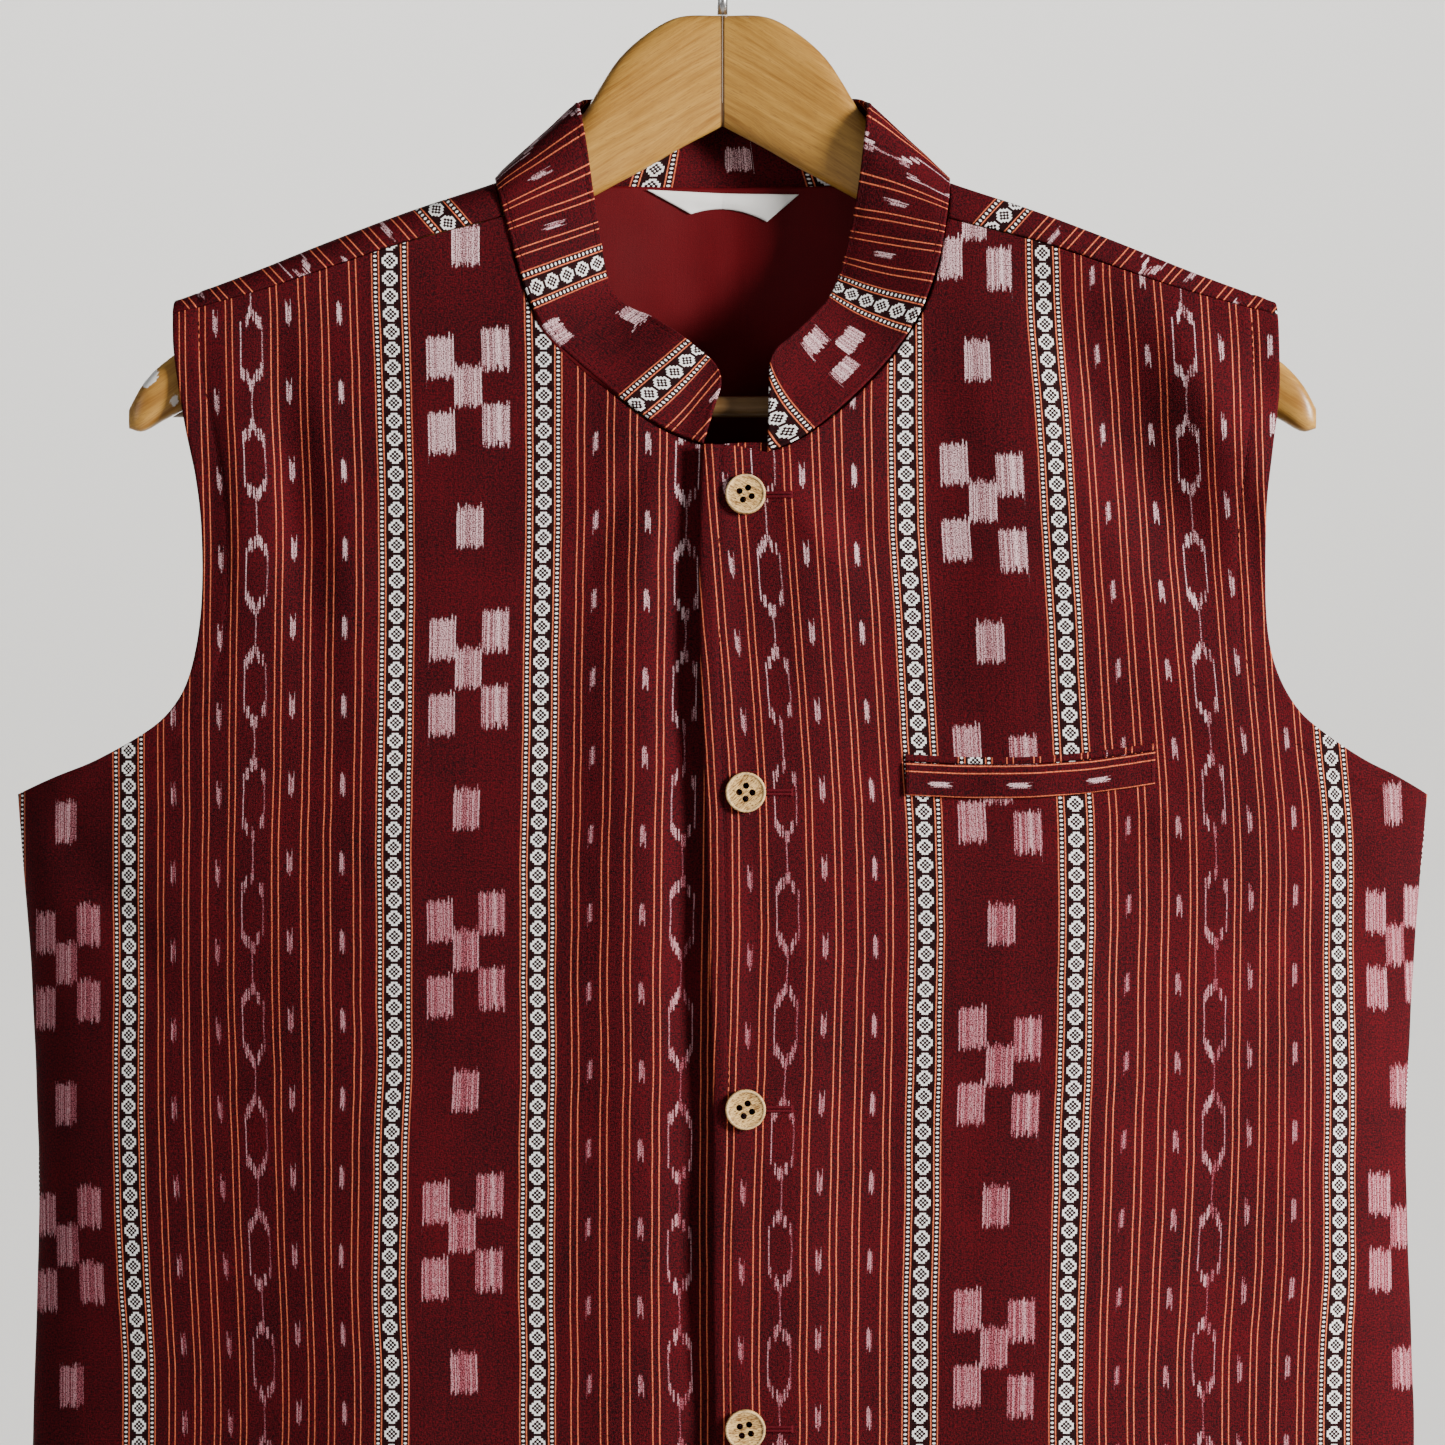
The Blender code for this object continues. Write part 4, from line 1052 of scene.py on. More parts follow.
def ikat_cloth():
    made, tree, shader = new_material("ikat cloth")
    stripes = read_attribute(tree, "stripes")
    motifs = read_attribute(tree, "motifs")
    across, down, _ = stripes
    wander = cloud(tree, together(across / 60.0, down / 38.0, 51.0), 2.0)
    across = across + (wander - 0.5) * 1.3
    speckle, shade, height = place_weave(tree, across, down)

    tone = (speckle * 0.95 - 0.05 + (shade - 0.5) * 0.6).least(1.0).most(0.0)
    colour = blended(tree, MAROON_DARK, MAROON_BRIGHT, tone)

    flowers, dots, lines, ground = flower_stripe(tree, across, down)
    reach = abs(across.wrapped(HALF_REPEAT))
    nearest = abs(reach - ORANGE_PAIRS[0])
    for pair in ORANGE_PAIRS[1:]:
        nearest = nearest.least(abs(reach - pair))
    pairs = abs(nearest - 1.25).under(0.21, 0.12)
    twist = cloud(tree, together(across / 0.5, down / 0.8, 61.0), 1.0)
    worn = ((twist - 0.5) * 2.2 + 0.85).least(1.0).most(0.35)
    orange = pairs.most(lines) * worn
    colour = blended(tree, colour, BLACK_YARN, ground * 0.82)
    colour = blended(tree, colour, ORANGE_YARN, orange)
    white = flowers.most(dots)
    colour = blended(tree, colour, WHITE_YARN, white * (worn * 0.12 + 0.88))

    cover, paleness, broken = ikat_threads(tree, (across, down, stripes[2]), motifs)
    pale = blended(tree, IKAT_PINK, IKAT_WHITE, paleness)
    colour = blended(tree, colour, pale, cover * broken)
    tree.links.new(colour, shader.inputs["Base Color"])

    raised = height + orange * 0.5 + white * 0.7
    set_relief(tree, shader, raised.socket, 0.55, 0.00022)
    rough = speckle * 0.12 + 0.76
    tree.links.new(rough.socket, shader.inputs["Roughness"])
    shader.inputs["Specular IOR Level"].default_value = 0.10
    return made


def lining_cloth():
    made, tree, shader = new_material("lining cloth")
    across, down, _ = read_attribute(tree, "stripes")
    speckle, shade, height = place_weave(tree, across * 1.7, down * 1.7)
    tone = (speckle * 0.5 + shade * 0.5).least(1.0).most(0.0)
    colour = blended(tree, (0.062, 0.0012, 0.0030), (0.130, 0.0022, 0.0056), tone)
    tree.links.new(colour, shader.inputs["Base Color"])
    set_relief(tree, shader, height.socket, 0.3, 0.0001)
    shader.inputs["Roughness"].default_value = 0.62
    shader.inputs["Specular IOR Level"].default_value = 0.12
    return made


ikat = ikat_cloth()
lining = lining_cloth()

left_front = front_panel("left_front_cloth", "left", (ikat, lining))
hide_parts("left_front")
right_front = front_panel("right_front_cloth", "right", (ikat, lining))
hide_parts("right_front")

# Back
# One panel of the same cloth, lined, which runs over the shoulder ridge to the forward seam.

BACK_NECK = 6.0
BACK_HALF = 13.0
RIDGE_LEVEL = 3.0
HOLE_LEVEL = 12.0
BACK_HEM_LEVEL = 26.0
STRIPE_SHARE = 0.968
BACK_HOLE_LENGTH = 230.0

# How cloth that is turned over the ridge shifts its pattern, for each millimetre below the ridge
TURNED_ACROSS = 0.669
TURNED_DOWN = 1.743

# The back of the neck seam and of the collar's top, from the middle to the ridge.
# Columns: seam_x, seam_z, top_x, top_z, forward (how far the top lies before the seam)
COLLAR_BACK = (
    (0.0, -128.6, 0.0, -94.0, 0.0),
    (22.0, -128.6, 15.0, -94.0, 0.5),
    (45.0, -128.5, 30.0, -94.0, 1.0),
    (68.0, -128.2, 45.0, -94.3, 1.5),
    (80.5, -127.8, 51.5, -95.5, 1.0),
    (86.5, -127.4, 54.8, -97.7, -0.5),
)

# Depth of the first rows of the back under its top edge: level, drop
RIDGE_DROPS = ((0.0, 0.0), (1.0, 2.8), (2.0, 11.0), (3.0, 24.0))

# As MOTIF_HEIGHTS, in the same columns
BACK_MOTIFS = (
    (-240.0, 350.0, 330.0, 318.0, 3.0),
    (-160.0, 350.0, 330.0, 318.0, 3.0),
    (-80.0, 295.0, 330.0, 306.0, -3.0),
    (0.0, 295.0, 341.0, 306.0, 3.0),
    (80.0, 295.0, 341.0, 300.0, 3.0),
    (160.0, 350.0, 333.0, 312.0, -3.0),
    (240.0, 350.0, 333.0, 312.0, -3.0),
)


def back_top(x):
    """The upper edge of the back: neck seam inside NECK_X, ridge outside."""
    if abs(x) >= NECK_X:
        return shoulder_height(x)
    return read_off(COLLAR_BACK, abs(x))


def back_hole(side):
    """The back's armhole edge: as the front's at both ends, and a little inside it between."""
    tip_x = ARMHOLE[side][0][0]
    rows = [(tip_x, shoulder_height(tip_x))]
    for x, z in ARMHOLE[side]:
        share = (z - UNDERARM_Z) / (shoulder_height(TIP_X) - UNDERARM_Z)
        inside = 3.0 * smoothstep(4.0 * share) * smoothstep(4.0 * (1.0 - share))
        raised = 3.5 * smoothstep(6.0 * share) * (1.0 - smoothstep((share - 0.2) / 0.2))
        rows.append((x - inside, z + raised))
    return rows


BACK_HOLE_ROWS = {side: back_hole(side) for side in SIGN}
BACK_HOLE_LINE = {side: by_length(rows) for side, rows in BACK_HOLE_ROWS.items()}
BACK_HOLES = {side: hole_tree(False, BACK_HOLE_LINE[side], sign) for side, sign in SIGN.items()}


def top_share(column):
    """Share of the shoulder's width at a column of the back's top row."""
    if column <= BACK_NECK:
        return math.sin(0.5 * math.pi * column / BACK_NECK) * NECK_X / TIP_X
    return mix(NECK_X / TIP_X, 1.0, (column - BACK_NECK) / (BACK_HALF - BACK_NECK))


def back_grid(side, column, level):
    """Distance from the middle and height of a point of the back; level 0 is the ridge."""
    hole = BACK_HOLE_ROWS[side]
    tip_x = hole[0][0]
    if level <= 0.0:
        if column < BACK_NECK:
            x = TIP_X * top_share(column)
            return x, back_top(x)
        reach = -level / 3.0
        neck_x = abs(neck_station(side, neck_share_at(side, reach))[0])
        x = mix(neck_x, tip_x, (column - BACK_NECK) / (BACK_HALF - BACK_NECK))
        return x, wrap_height(x, reach)
    centre_top = back_top(0.0)
    if level <= RIDGE_LEVEL:
        drop = read_off(RIDGE_DROPS, level)
        near_z = centre_top - drop
        far_z = hole[0][1] - drop
        far_x = read_off([(-z, x) for x, z in hole], -far_z)
        turn = 0.0
    elif level < HOLE_LEVEL:
        turn = (level - RIDGE_LEVEL) / (HOLE_LEVEL - RIDGE_LEVEL)
        near_z = mix(centre_top - RIDGE_DROPS[-1][1], UNDERARM_Z, turn)
        far_x, far_z = along(BACK_HOLE_LINE[side], mix(RIDGE_DROPS[-1][1] / BACK_HOLE_LENGTH, 1.0, turn))
    else:
        turn = 1.0
        near_z = mix(UNDERARM_Z, HEM_Z, (level - HOLE_LEVEL) / (BACK_HEM_LEVEL - HOLE_LEVEL))
        far_x, far_z = side_x(near_z), near_z
    blend = smoothstep(turn)
    far_turn = math.asin(min(far_x / read_off(SIDE_LINE, far_z), 1.0))
    round_share = math.sin(far_turn * column / BACK_HALF) / math.sin(far_turn)
    share = mix(top_share(column), round_share, blend)
    top_x = tip_x * share
    edge = (back_top(top_x) - centre_top) / (back_top(tip_x) - centre_top)
    return far_x * share, near_z + (far_z - near_z) * mix(edge, share, blend)


BACK_INNER_COLUMNS = 26
BACK_MIDDLE_COLUMNS = 44
BACK_LEVELS = (
    [-3.0, -2.99, -2.965, -2.92, -2.82]
    + spread(-2.82, 0.0, 12)
    + [0.0, 0.043, 0.14, 0.32, 0.62]
    + spread(0.62, RIDGE_LEVEL, 9)
    + [RIDGE_LEVEL]
    + spread(RIDGE_LEVEL, HOLE_LEVEL, 58)
    + [HOLE_LEVEL]
    + spread(HOLE_LEVEL, 25.3, 92)
    + [25.3, 25.35, 25.38, 25.4, 25.42, 25.45, 25.55, 25.7, 25.85]
    + [25.945, 25.974, 25.988, 25.997, BACK_HEM_LEVEL]
)


def back_row(side, level):
    samples = [back_grid(side, mix(BACK_NECK, BACK_HALF, step / 30.0), level) for step in range(31)]
    return Row(level < 0.0, [(SIGN[side] * x, z) for x, z in samples])


def back_stripes(front, x, z):
    """The place of a point of the back on the flat cloth, which is turned over at the ridge."""
    drop = max(shoulder_height(x) - z, 0.0)
    half = read_off(SIDE_LINE, z)
    share = min(abs(x) / half, 0.9995)
    reach = abs(x) + 2.5 * (math.atanh(share) - share)
    height = -z
    if front:
        reach += TURNED_ACROSS * drop
        height = -(z + TURNED_DOWN * drop)
    stripe = math.copysign(reach * STRIPE_SHARE, x)
    heights, offset = motif_heights(BACK_MOTIFS, stripe, height)
    return (stripe, height, offset), heights


def back_panel(name, finishes):
    rows = {side: [back_row(side, level) for level in BACK_LEVELS] for side in SIGN}
    half_columns = BACK_INNER_COLUMNS + len(ROUND_STEPS) + BACK_MIDDLE_COLUMNS - 1 + len(FAR_STEPS) - 1
    ridge_row = BACK_LEVELS.index(0.0)

    def point_at(column, number):
        index = column - half_columns
        side = "left" if index >= 0 else "right"
        step = abs(index)
        level, row = BACK_LEVELS[number], rows[side][number]
        front = level < 0.0
        ends = [(BACK_HEM_LEVEL - level) * LEVEL_HEIGHT]
        if step < BACK_INNER_COLUMNS:
            x, z = back_grid(side, BACK_NECK * step / BACK_INNER_COLUMNS, max(level, 0.0))
            x *= SIGN[side]
            ends.append(back_top(x) - z)
        else:
            total = row.lengths[-1]
            length = length_at(step - BACK_INNER_COLUMNS, BACK_MIDDLE_COLUMNS, total)
            x, z = row.at(length)
            ends.append(total - length)
            if front:
                ends.append(length)
                ends.append((z - wrap_height(x, 1.0)) * 1.2)
        lift = softness(front, x, z) * (0.4 if front else 1.0)
        lift += hole_dent(BACK_HOLES[side], False, x, z) + stitch_dent(z - HEM_Z, HEM_STITCH)
        outer, inner = cloth_pair(front, x, z, lift, min(ends))
        stripes, motifs = back_stripes(front, x, z)
        return outer, inner, stripes, motifs

    def keep(column, row):
        index = column - half_columns
        inside = index if index >= 0 else -index - 1
        return row >= ridge_row or inside >= BACK_INNER_COLUMNS

    return cloth_wall(name, 2 * half_columns, len(BACK_LEVELS) - 1, point_at, finishes, keep)


back = back_panel("back_cloth", (ikat, lining))
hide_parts("back")

# Collar
# A stiff stand of the same cloth cut across, so its stripes run up it; its ends are rounded
# and its edges are topstitched. Its seam sits on the neck edges of the three panels.

COLLAR_END_ROUND = 9.0
COLLAR_STITCH = 2.2
COLLAR_SHIFT = 5.7
COLLAR_STRETCH = 0.945

# How the stripes lean off the band's rulings towards its ends: distance from the back, lean
COLLAR_LEAN = {
    "left": ((0.0, 0.0), (60.0, 0.0), (105.0, 0.21), (144.0, 0.345), (203.0, 0.416), (245.0, 0.43)),
    "right": ((0.0, 0.0), (60.0, 0.0), (135.0, 0.0), (165.0, 0.2), (193.0, 0.385), (245.0, 0.45)),
}

# The few dyed blocks that fall on the band: middle of the stripe, column, heights
COLLAR_BLOCKS = (
    (80.0, 0, (12.5,)),
    (240.0, -1, (17.5,)),
    (240.0, 0, (10.5, 28.5)),
    (-80.0, 1, (3.0,)),
    (-80.0, 0, (32.0,)),
)
NO_BLOCK = 26.0
BLOCK_REACH = 5.5
OUTER_BLOCK = 15.3
MIDDLE_BLOCK = 1.0
COLLAR_ENDS = [0.0, 0.12, 0.4, 0.9, 1.5, 1.9, 2.2, 2.5, 3.0, 4.5]
COLLAR_COLUMNS = 480
COLLAR_ROWS = 12


class Station:
    """A ruling of the collar band, from its seam to its top."""

    def __init__(self, seam, top):
        self.seam = seam
        self.top = top

    def lerp(self, other, share):
        return Station(self.seam.lerp(other.seam, share), self.top.lerp(other.top, share))

    def at(self, up):
        return self.seam.lerp(self.top, up)


def collar_station(front, seam_x, seam_z, top_x, top_z, behind):
    seam = cloth_point(front, seam_x, seam_z)
    return Station(seam, Vector((top_x, seam.y + behind, top_z)))


def collar_half(side):
    sign = SIGN[side]
    stations = [collar_station(True, *neck_station(side, step / 110.0)) for step in range(111)]
    for step in range(1, 41):
        x = NECK_X * math.sin(0.5 * math.pi * (1.0 - step / 40.0))
        seam_z, top_x, top_z, forward = (read_off(COLLAR_BACK, x, index) for index in (1, 2, 3, 4))
        stations.append(collar_station(False, sign * x, seam_z, sign * top_x, top_z, -forward))
    return stations


class Band:
    """The collar, walked along the middle of its height from the wearer's right end."""

    def __init__(self):
        right, left = collar_half("right"), collar_half("left")
        self.stations = right + left[-2::-1]
        self.lengths = [0.0]
        for first, second in zip(self.stations, self.stations[1:]):
            self.lengths.append(self.lengths[-1] + (second.at(0.5) - first.at(0.5)).length)
        self.total = self.lengths[-1]
        self.back = self.lengths[len(right) - 1]

    def station(self, length):
        low, high = 0, len(self.lengths) - 2
        while low < high:
            tried = (low + high + 1) // 2
            if self.lengths[tried] <= length:
                low = tried
            else:
                high = tried - 1
        width = max(self.lengths[low + 1] - self.lengths[low], 1e-6)
        return self.stations[low].lerp(self.stations[low + 1], (length - self.lengths[low]) / width)

    def face(self, length, up):
        """The point on the band, and the direction from its outer to its inner face."""
        ahead = self.station(min(length + 1.2, self.total)).at(up)
        behind = self.station(max(length - 1.2, 0.0)).at(up)
        here = self.station(length)
        return here.at(up), (ahead - behind).cross(here.top - here.seam).normalized()


band = Band()


def collar_height(length):
    """Height of the band at a length, less at its rounded ends."""
    station = band.station(length)
    full = (station.top - station.seam).length
    from_end = min(length, band.total - length)
    if from_end >= COLLAR_END_ROUND:
        return full, full
    lost = COLLAR_END_ROUND - math.sqrt(COLLAR_END_ROUND**2 - (COLLAR_END_ROUND - from_end) ** 2)
    return full, full - 0.9 * lost


def collar_point(length, above):
    """Two faces of the band where it is a length from its end and a height above its seam."""
    full, height = collar_height(length)
    point, inward = band.face(length, above / full)
    from_end = min(length, band.total - length)
    from_top = height - above
    edge = min(from_end, from_top, above - SEAM_GAP)
    uneven = 0.35 * ripple(length / 21.0, above / 17.0, 17.0)
    uneven += 0.18 * ripple(length / 6.0, above / 9.0, 27.0)
    pucker = 0.22 * ripple(length / 3.6, 4.0, 7.0)
    pucker *= math.exp(-((min(from_top, from_end) / 3.5) ** 2))
    dent = stitch_dent(min(from_top, from_end), COLLAR_STITCH) + stitch_dent(above, COLLAR_STITCH)
    middle_point = point - inward * (CLOTH / 2.0 + uneven + pucker)
    half = CLOTH / 2.0 * rounded(edge) + dent * 0.5
    return middle_point - inward * half, middle_point + inward * half


def collar_stripes(length, above):
    """The band is a straight strip of cloth, curved, so its stripes stay parallel."""
    from_back = length - band.back
    side = "left" if from_back >= 0.0 else "right"
    lean = math.copysign(read_off(COLLAR_LEAN[side], abs(from_back)), from_back)
    stripe = HALF_REPEAT + COLLAR_STRETCH * (from_back - lean * (above - 17.5) - COLLAR_SHIFT)
    group = HALF_REPEAT + REPEAT * round((stripe - HALF_REPEAT) / REPEAT)
    column = round((stripe - group) / BLOCK_COLUMN)
    block = NO_BLOCK
    for middle, number, heights in COLLAR_BLOCKS:
        gap = min(abs(above - height) for height in heights)
        if middle == group and number == column and gap < BLOCK_REACH:
            block = (OUTER_BLOCK if column else MIDDLE_BLOCK) + 1.5 * gap
    return (stripe, -above, 0.0), (block, 8.0 - above, 20.0 - above)


def collar_band(name, finishes):
    inner_columns = spread(COLLAR_ENDS[-1], band.total - COLLAR_ENDS[-1], COLLAR_COLUMNS)
    lengths = COLLAR_ENDS + inner_columns + [band.total - step for step in reversed(COLLAR_ENDS)]
    rows = 2 * len(COLLAR_ENDS) + COLLAR_ROWS - 1

    def above_at(length, row):
        _, height = collar_height(length)
        low, high = SEAM_GAP + COLLAR_ENDS[-1], height - COLLAR_ENDS[-1]
        if row < len(COLLAR_ENDS):
            return SEAM_GAP + COLLAR_ENDS[row]
        if row >= len(COLLAR_ENDS) + COLLAR_ROWS - 1:
            return height - COLLAR_ENDS[rows - 1 - row]
        return mix(low, high, (row - len(COLLAR_ENDS) + 1) / COLLAR_ROWS)

    def point_at(column, row):
        length = lengths[column]
        above = above_at(length, row)
        outer, inner = collar_point(length, above)
        stripes, motifs = collar_stripes(length, above)
        return outer, inner, stripes, motifs

    return cloth_wall(name, len(lengths) - 1, rows - 1, point_at, finishes)


collar = collar_band("collar_cloth", (ikat,))
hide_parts("collar")

# Lining and label
# The plain dark-red lining that shows inside the back of the neck, and a blank satin label
# sewn to it by its upper edge.

LINING = 1.0
LINING_GAP = 1.1
LINING_HALF_WIDTH = 112.0
LINING_LOW_Z = -300.0
LABEL = 0.6
LABEL_HEIGHT = 9.5


def lining_patch(name, finishes):
    columns, rows = 56, 60

    def point_at(column, row):
        across = 2.0 * column / columns - 1.0
        x = LINING_HALF_WIDTH * across
        top_z = min(back_top(x) + 1.4, shoulder_height(x) - 15.0)
        z = mix(top_z, LINING_LOW_Z, (row / rows) ** 1.3)
        sag = 0.7 * ripple(x / 16.0, z / 40.0, 71.0) - 0.5
        pleat = -0.9 * math.exp(-((x / 5.0) ** 2)) * smoothstep((top_z - z) / 20.0)
        edge = min(LINING_HALF_WIDTH - abs(x), (top_z - z) + 0.05, z - LINING_LOW_Z)
        lift = -CLOTH - LINING_GAP + softness(False, x, z) + sag * smoothstep(edge / 12.0) + pleat
        outer, inner = cloth_pair(False, x, z, lift, edge, LINING)
        return outer, inner, (x, -z, 0.0), (0.0, 0.0, 0.0)

    return cloth_wall(name, columns, rows, point_at, finishes)


def label_patch(name, finishes):
    columns, rows = 60, 22

    def point_at(column, row):
        across = 2.0 * column / columns - 1.0
        down = row / rows
        half = mix(30.2, 15.4, down)
        x = half * across + 2.5 * down
        top_z = back_top(0.0) - 0.5 - 0.9 * across
        low_z = -138.6 - 1.5 * across + 3.4 * (1.0 - across * across)
        z = mix(top_z, low_z, down)
        bulge = 0.8 * (1.0 - across * across) * math.sin(math.pi * down)
        wave = 0.25 * ripple(x / 7.0, z / 9.0, 81.0) * down
        lift = -CLOTH - LINING_GAP - LINING - SEAM_GAP - bulge - 0.4 - wave
        lift += softness(False, x, z)
        edge = min((1.0 - abs(across)) * half, down * LABEL_HEIGHT, (1.0 - down) * LABEL_HEIGHT)
        outer, inner = cloth_pair(False, x, z, lift, edge * 1.6, LABEL)
        return outer, inner, (x, -z, 0.0), (0.0, 0.0, 0.0)

    return cloth_wall(name, columns, rows, point_at, finishes)


def label_satin():
    made, tree, shader = new_material("label satin")
    across, down, _ = read_attribute(tree, "stripes")
    floats = cloud(tree, together(across / 0.25, down / 1.6, 5.0), 2.0)
    patches = cloud(tree, together(across / 12.0, down / 9.0, 9.0), 2.0)
    tone = (floats * 0.6 + patches * 0.5).least(1.0)
    colour = blended(tree, (0.90, 0.885, 0.85), (0.98, 0.975, 0.96), tone)
    tree.links.new(colour, shader.inputs["Base Color"])
    set_relief(tree, shader, floats.socket, 0.25, 0.0001)
    shader.inputs["Roughness"].default_value = 0.42
    return made


neck_lining = lining_patch("back_lining_cloth", (lining,))
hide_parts("back_lining")
label = label_patch("neck_label_satin", (label_satin(),))
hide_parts("neck_label")

# Breast pocket
# A welt of the same cloth turned sideways closes a slanted slit on the wearer's left; the
# narrow facing above it shows the ends of the stripes.

WELT = 1.6
WELT_LEFT_X = 68.8
WELT_RIGHT_X = 162.9
WELT_HEIGHT = 12.4
WELT_INNER_Z = -348.9
WELT_OUTER_Z = -344.7
WELT_SAG = 3.0
FACING = 0.7
FACING_HEIGHT = 2.6


def welt_top(x):
    """The welt's upper edge rises to the outer end and sags in the middle."""
    share = (x - WELT_LEFT_X) / (WELT_RIGHT_X - WELT_LEFT_X)
    return mix(WELT_INNER_Z, WELT_OUTER_Z, share) - WELT_SAG * math.sin(math.pi * share)


def facing_top(x):
    return welt_top(x) + FACING_HEIGHT + SEAM_GAP


def pocket_strip(name, top_at, height, thickness, rows, stripes_at, finishes):
    ends = [0.0, 0.12, 0.4, 0.9, 1.6]
    width = WELT_RIGHT_X - WELT_LEFT_X
    steps = ends + spread(1.6, width - 1.6, 70) + [width - end for end in reversed(ends)]

    def point_at(column, row):
        x = WELT_LEFT_X + steps[column]
        down = height * rows[row]
        z = top_at(x) - down
        edge = min(steps[column], width - steps[column], down, height - down)
        lift = left_lift(x) + softness(True, x, z) + SEAM_GAP + thickness
        lift += 0.25 * ripple(x / 7.0, down / 6.0, 91.0)
        outer, inner = cloth_pair(True, x, z, lift, edge, thickness)
        stripes, motifs = stripes_at(x, down)
        return outer, inner, stripes, motifs

    return cloth_wall(name, len(steps) - 1, len(rows) - 1, point_at, finishes)


def welt_stripes(x, down):
    """Turned cloth: its stripes run along the welt."""
    return (mix(26.0, 37.35, down / WELT_HEIGHT), x, 0.0), (0.0, 0.0, x - 84.0)


def facing_stripes(x, down):
    return (x * 1.05 + 8.0, down, 0.0), (30.0, 21.3, 14.0)


welt_rows = [0.0, 0.01, 0.032, 0.07, 0.13, 0.25, 0.38, 0.5, 0.62, 0.75, 0.87, 0.93, 0.968, 0.99, 1.0]
welt = pocket_strip("pocket_welt_cloth", welt_top, WELT_HEIGHT, WELT, welt_rows, welt_stripes, (ikat,))
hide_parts("pocket_welt")
facing_rows = [0.0, 0.05, 0.15, 0.34, 0.66, 0.85, 0.95, 1.0]
facing = pocket_strip(
    "pocket_facing_cloth", facing_top, FACING_HEIGHT, FACING, facing_rows, facing_stripes, (ikat,)
)
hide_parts("pocket_facing")

# Sewing
# Topstitching in dark red thread round the armholes, down the lap, along the collar's edges,
# along the hem and at the ends of the welt.

STITCH_PITCH = 3.1
STITCH_LENGTH = 2.3
STITCH_THICK = 0.42

# Finer sewing: pitch, length, thickness
COLLAR_SEWING = (2.6, 1.9, 0.36)
WELT_SEWING = (1.8, 1.4, 0.34)


def thread_fibres():
    """The twist of sewing thread between two colours, and its relief."""
    group, given, wanted = new_group(
        "thread fibres",
        (("Dark", "NodeSocketColor"), ("Bright", "NodeSocketColor")),
        (("Colour", "NodeSocketColor"), ("Height", "NodeSocketFloat")),
    )
    place = group.nodes.new("ShaderNodeTexCoord")
    x, y, z = apart(group, place.outputs["Object"])
    fibres = cloud(group, together(x / 0.00035, z / 0.00035, y / 0.0004), 2.0)
    colour = blended(group, given.outputs["Dark"], given.outputs["Bright"], fibres)
    group.links.new(colour, wanted.inputs["Colour"])
    group.links.new(fibres.socket, wanted.inputs["Height"])
    return group


twisted_fibres = thread_fibres()


def sewing_thread(name, dark, bright):
    made, tree, shader = new_material(name)
    fibres = use_group(tree, twisted_fibres, Dark=(*dark, 1.0), Bright=(*bright, 1.0))
    tree.links.new(fibres.outputs["Colour"], shader.inputs["Base Color"])
    set_relief(tree, shader, fibres.outputs["Height"], 0.4, 0.0001)
    shader.inputs["Roughness"].default_value = 0.7
    shader.inputs["Specular IOR Level"].default_value = 0.08
    return made


def add_stitch(bm, centre, run, outward, length, thick):
    """One stitch: a small rounded grain laid along the run."""
    side = outward.cross(run).normalized()
    run = side.cross(outward).normalized()
    turned = Matrix((run * length / 2.0, side * thick / 2.0, outward * thick / 2.0)).transposed()
    place = Matrix.Translation(centre * MM) @ (turned * MM).to_4x4()
    place[3][3] = 1.0
    bmesh.ops.create_icosphere(bm, subdivisions=1, radius=1.0, matrix=place)


def sewn_line(bm, points, pitch=STITCH_PITCH, length=STITCH_LENGTH, thick=STITCH_THICK):
    """Stitches along points, each given with its outward direction."""
    gone = 0.0
    wanted = pitch / 2.0
    for (first, outward), (second, _) in zip(points, points[1:]):
        stretch = (second - first).length
        while wanted <= gone + stretch and stretch > 0.0:
            centre = first.lerp(second, (wanted - gone) / stretch)
            add_stitch(bm, centre + outward * 0.05, second - first, outward, length, thick)
            wanted += pitch
        gone += stretch


def hole_line(front, side):
    """The stitched line round an armhole on the outside of a panel."""
    sign = SIGN[side]
    line = ARMHOLE_LINE[side] if front else BACK_HOLE_LINE[side]
    tree = FRONT_HOLES[side] if front else BACK_HOLES[side]
    into_cloth = -sign if front else sign
    points = []
    for step in range(2, 159):
        x, z = along(line, step / 160.0)[:2]
        after_x, after_z = along(line, (step + 1) / 160.0)[:2]
        edge = cloth_point(front, sign * x, z)
        run = cloth_point(front, sign * after_x, after_z) - edge
        outward = cloth_normal(front, sign * x, z)
        inward = outward.cross(run).normalized() * into_cloth
        spot = edge + inward * ARMHOLE_STITCH
        if step > 140 and abs(spot.x) > side_x(spot.z) - 1.5:
            break
        lift = softness(front, spot.x, spot.z) + hole_dent(tree, front, spot.x, spot.z)
        outer = cloth_pair(front, spot.x, spot.z, lift, FAR_AWAY)[0]
        points.append((outer, cloth_normal(front, spot.x, spot.z)))
    return points


def faced(outer, inner):
    """The outer point of a wall, and the way it faces there."""
    return outer, (outer - inner).normalized()


def lap_line():
    levels = [mix(NECK_LEVEL + 0.15, HEM_LEVEL - 0.05, step / 199.0) for step in range(200)]
    return [faced(*lap_place("left", level, LAP_STITCH)) for level in levels]


def hem_line(front, from_x, to_x):
    points = []
    for step in range(121):
        x = mix(from_x, to_x, step / 120.0)
        z = HEM_Z + HEM_STITCH
        lift = softness(front, x, z) + stitch_dent(HEM_STITCH, HEM_STITCH)
        if front:
            lift += left_lift(x) if x > -2.0 else right_lift(x)
        points.append(faced(*cloth_pair(front, x, z, lift, FAR_AWAY)))
    return points


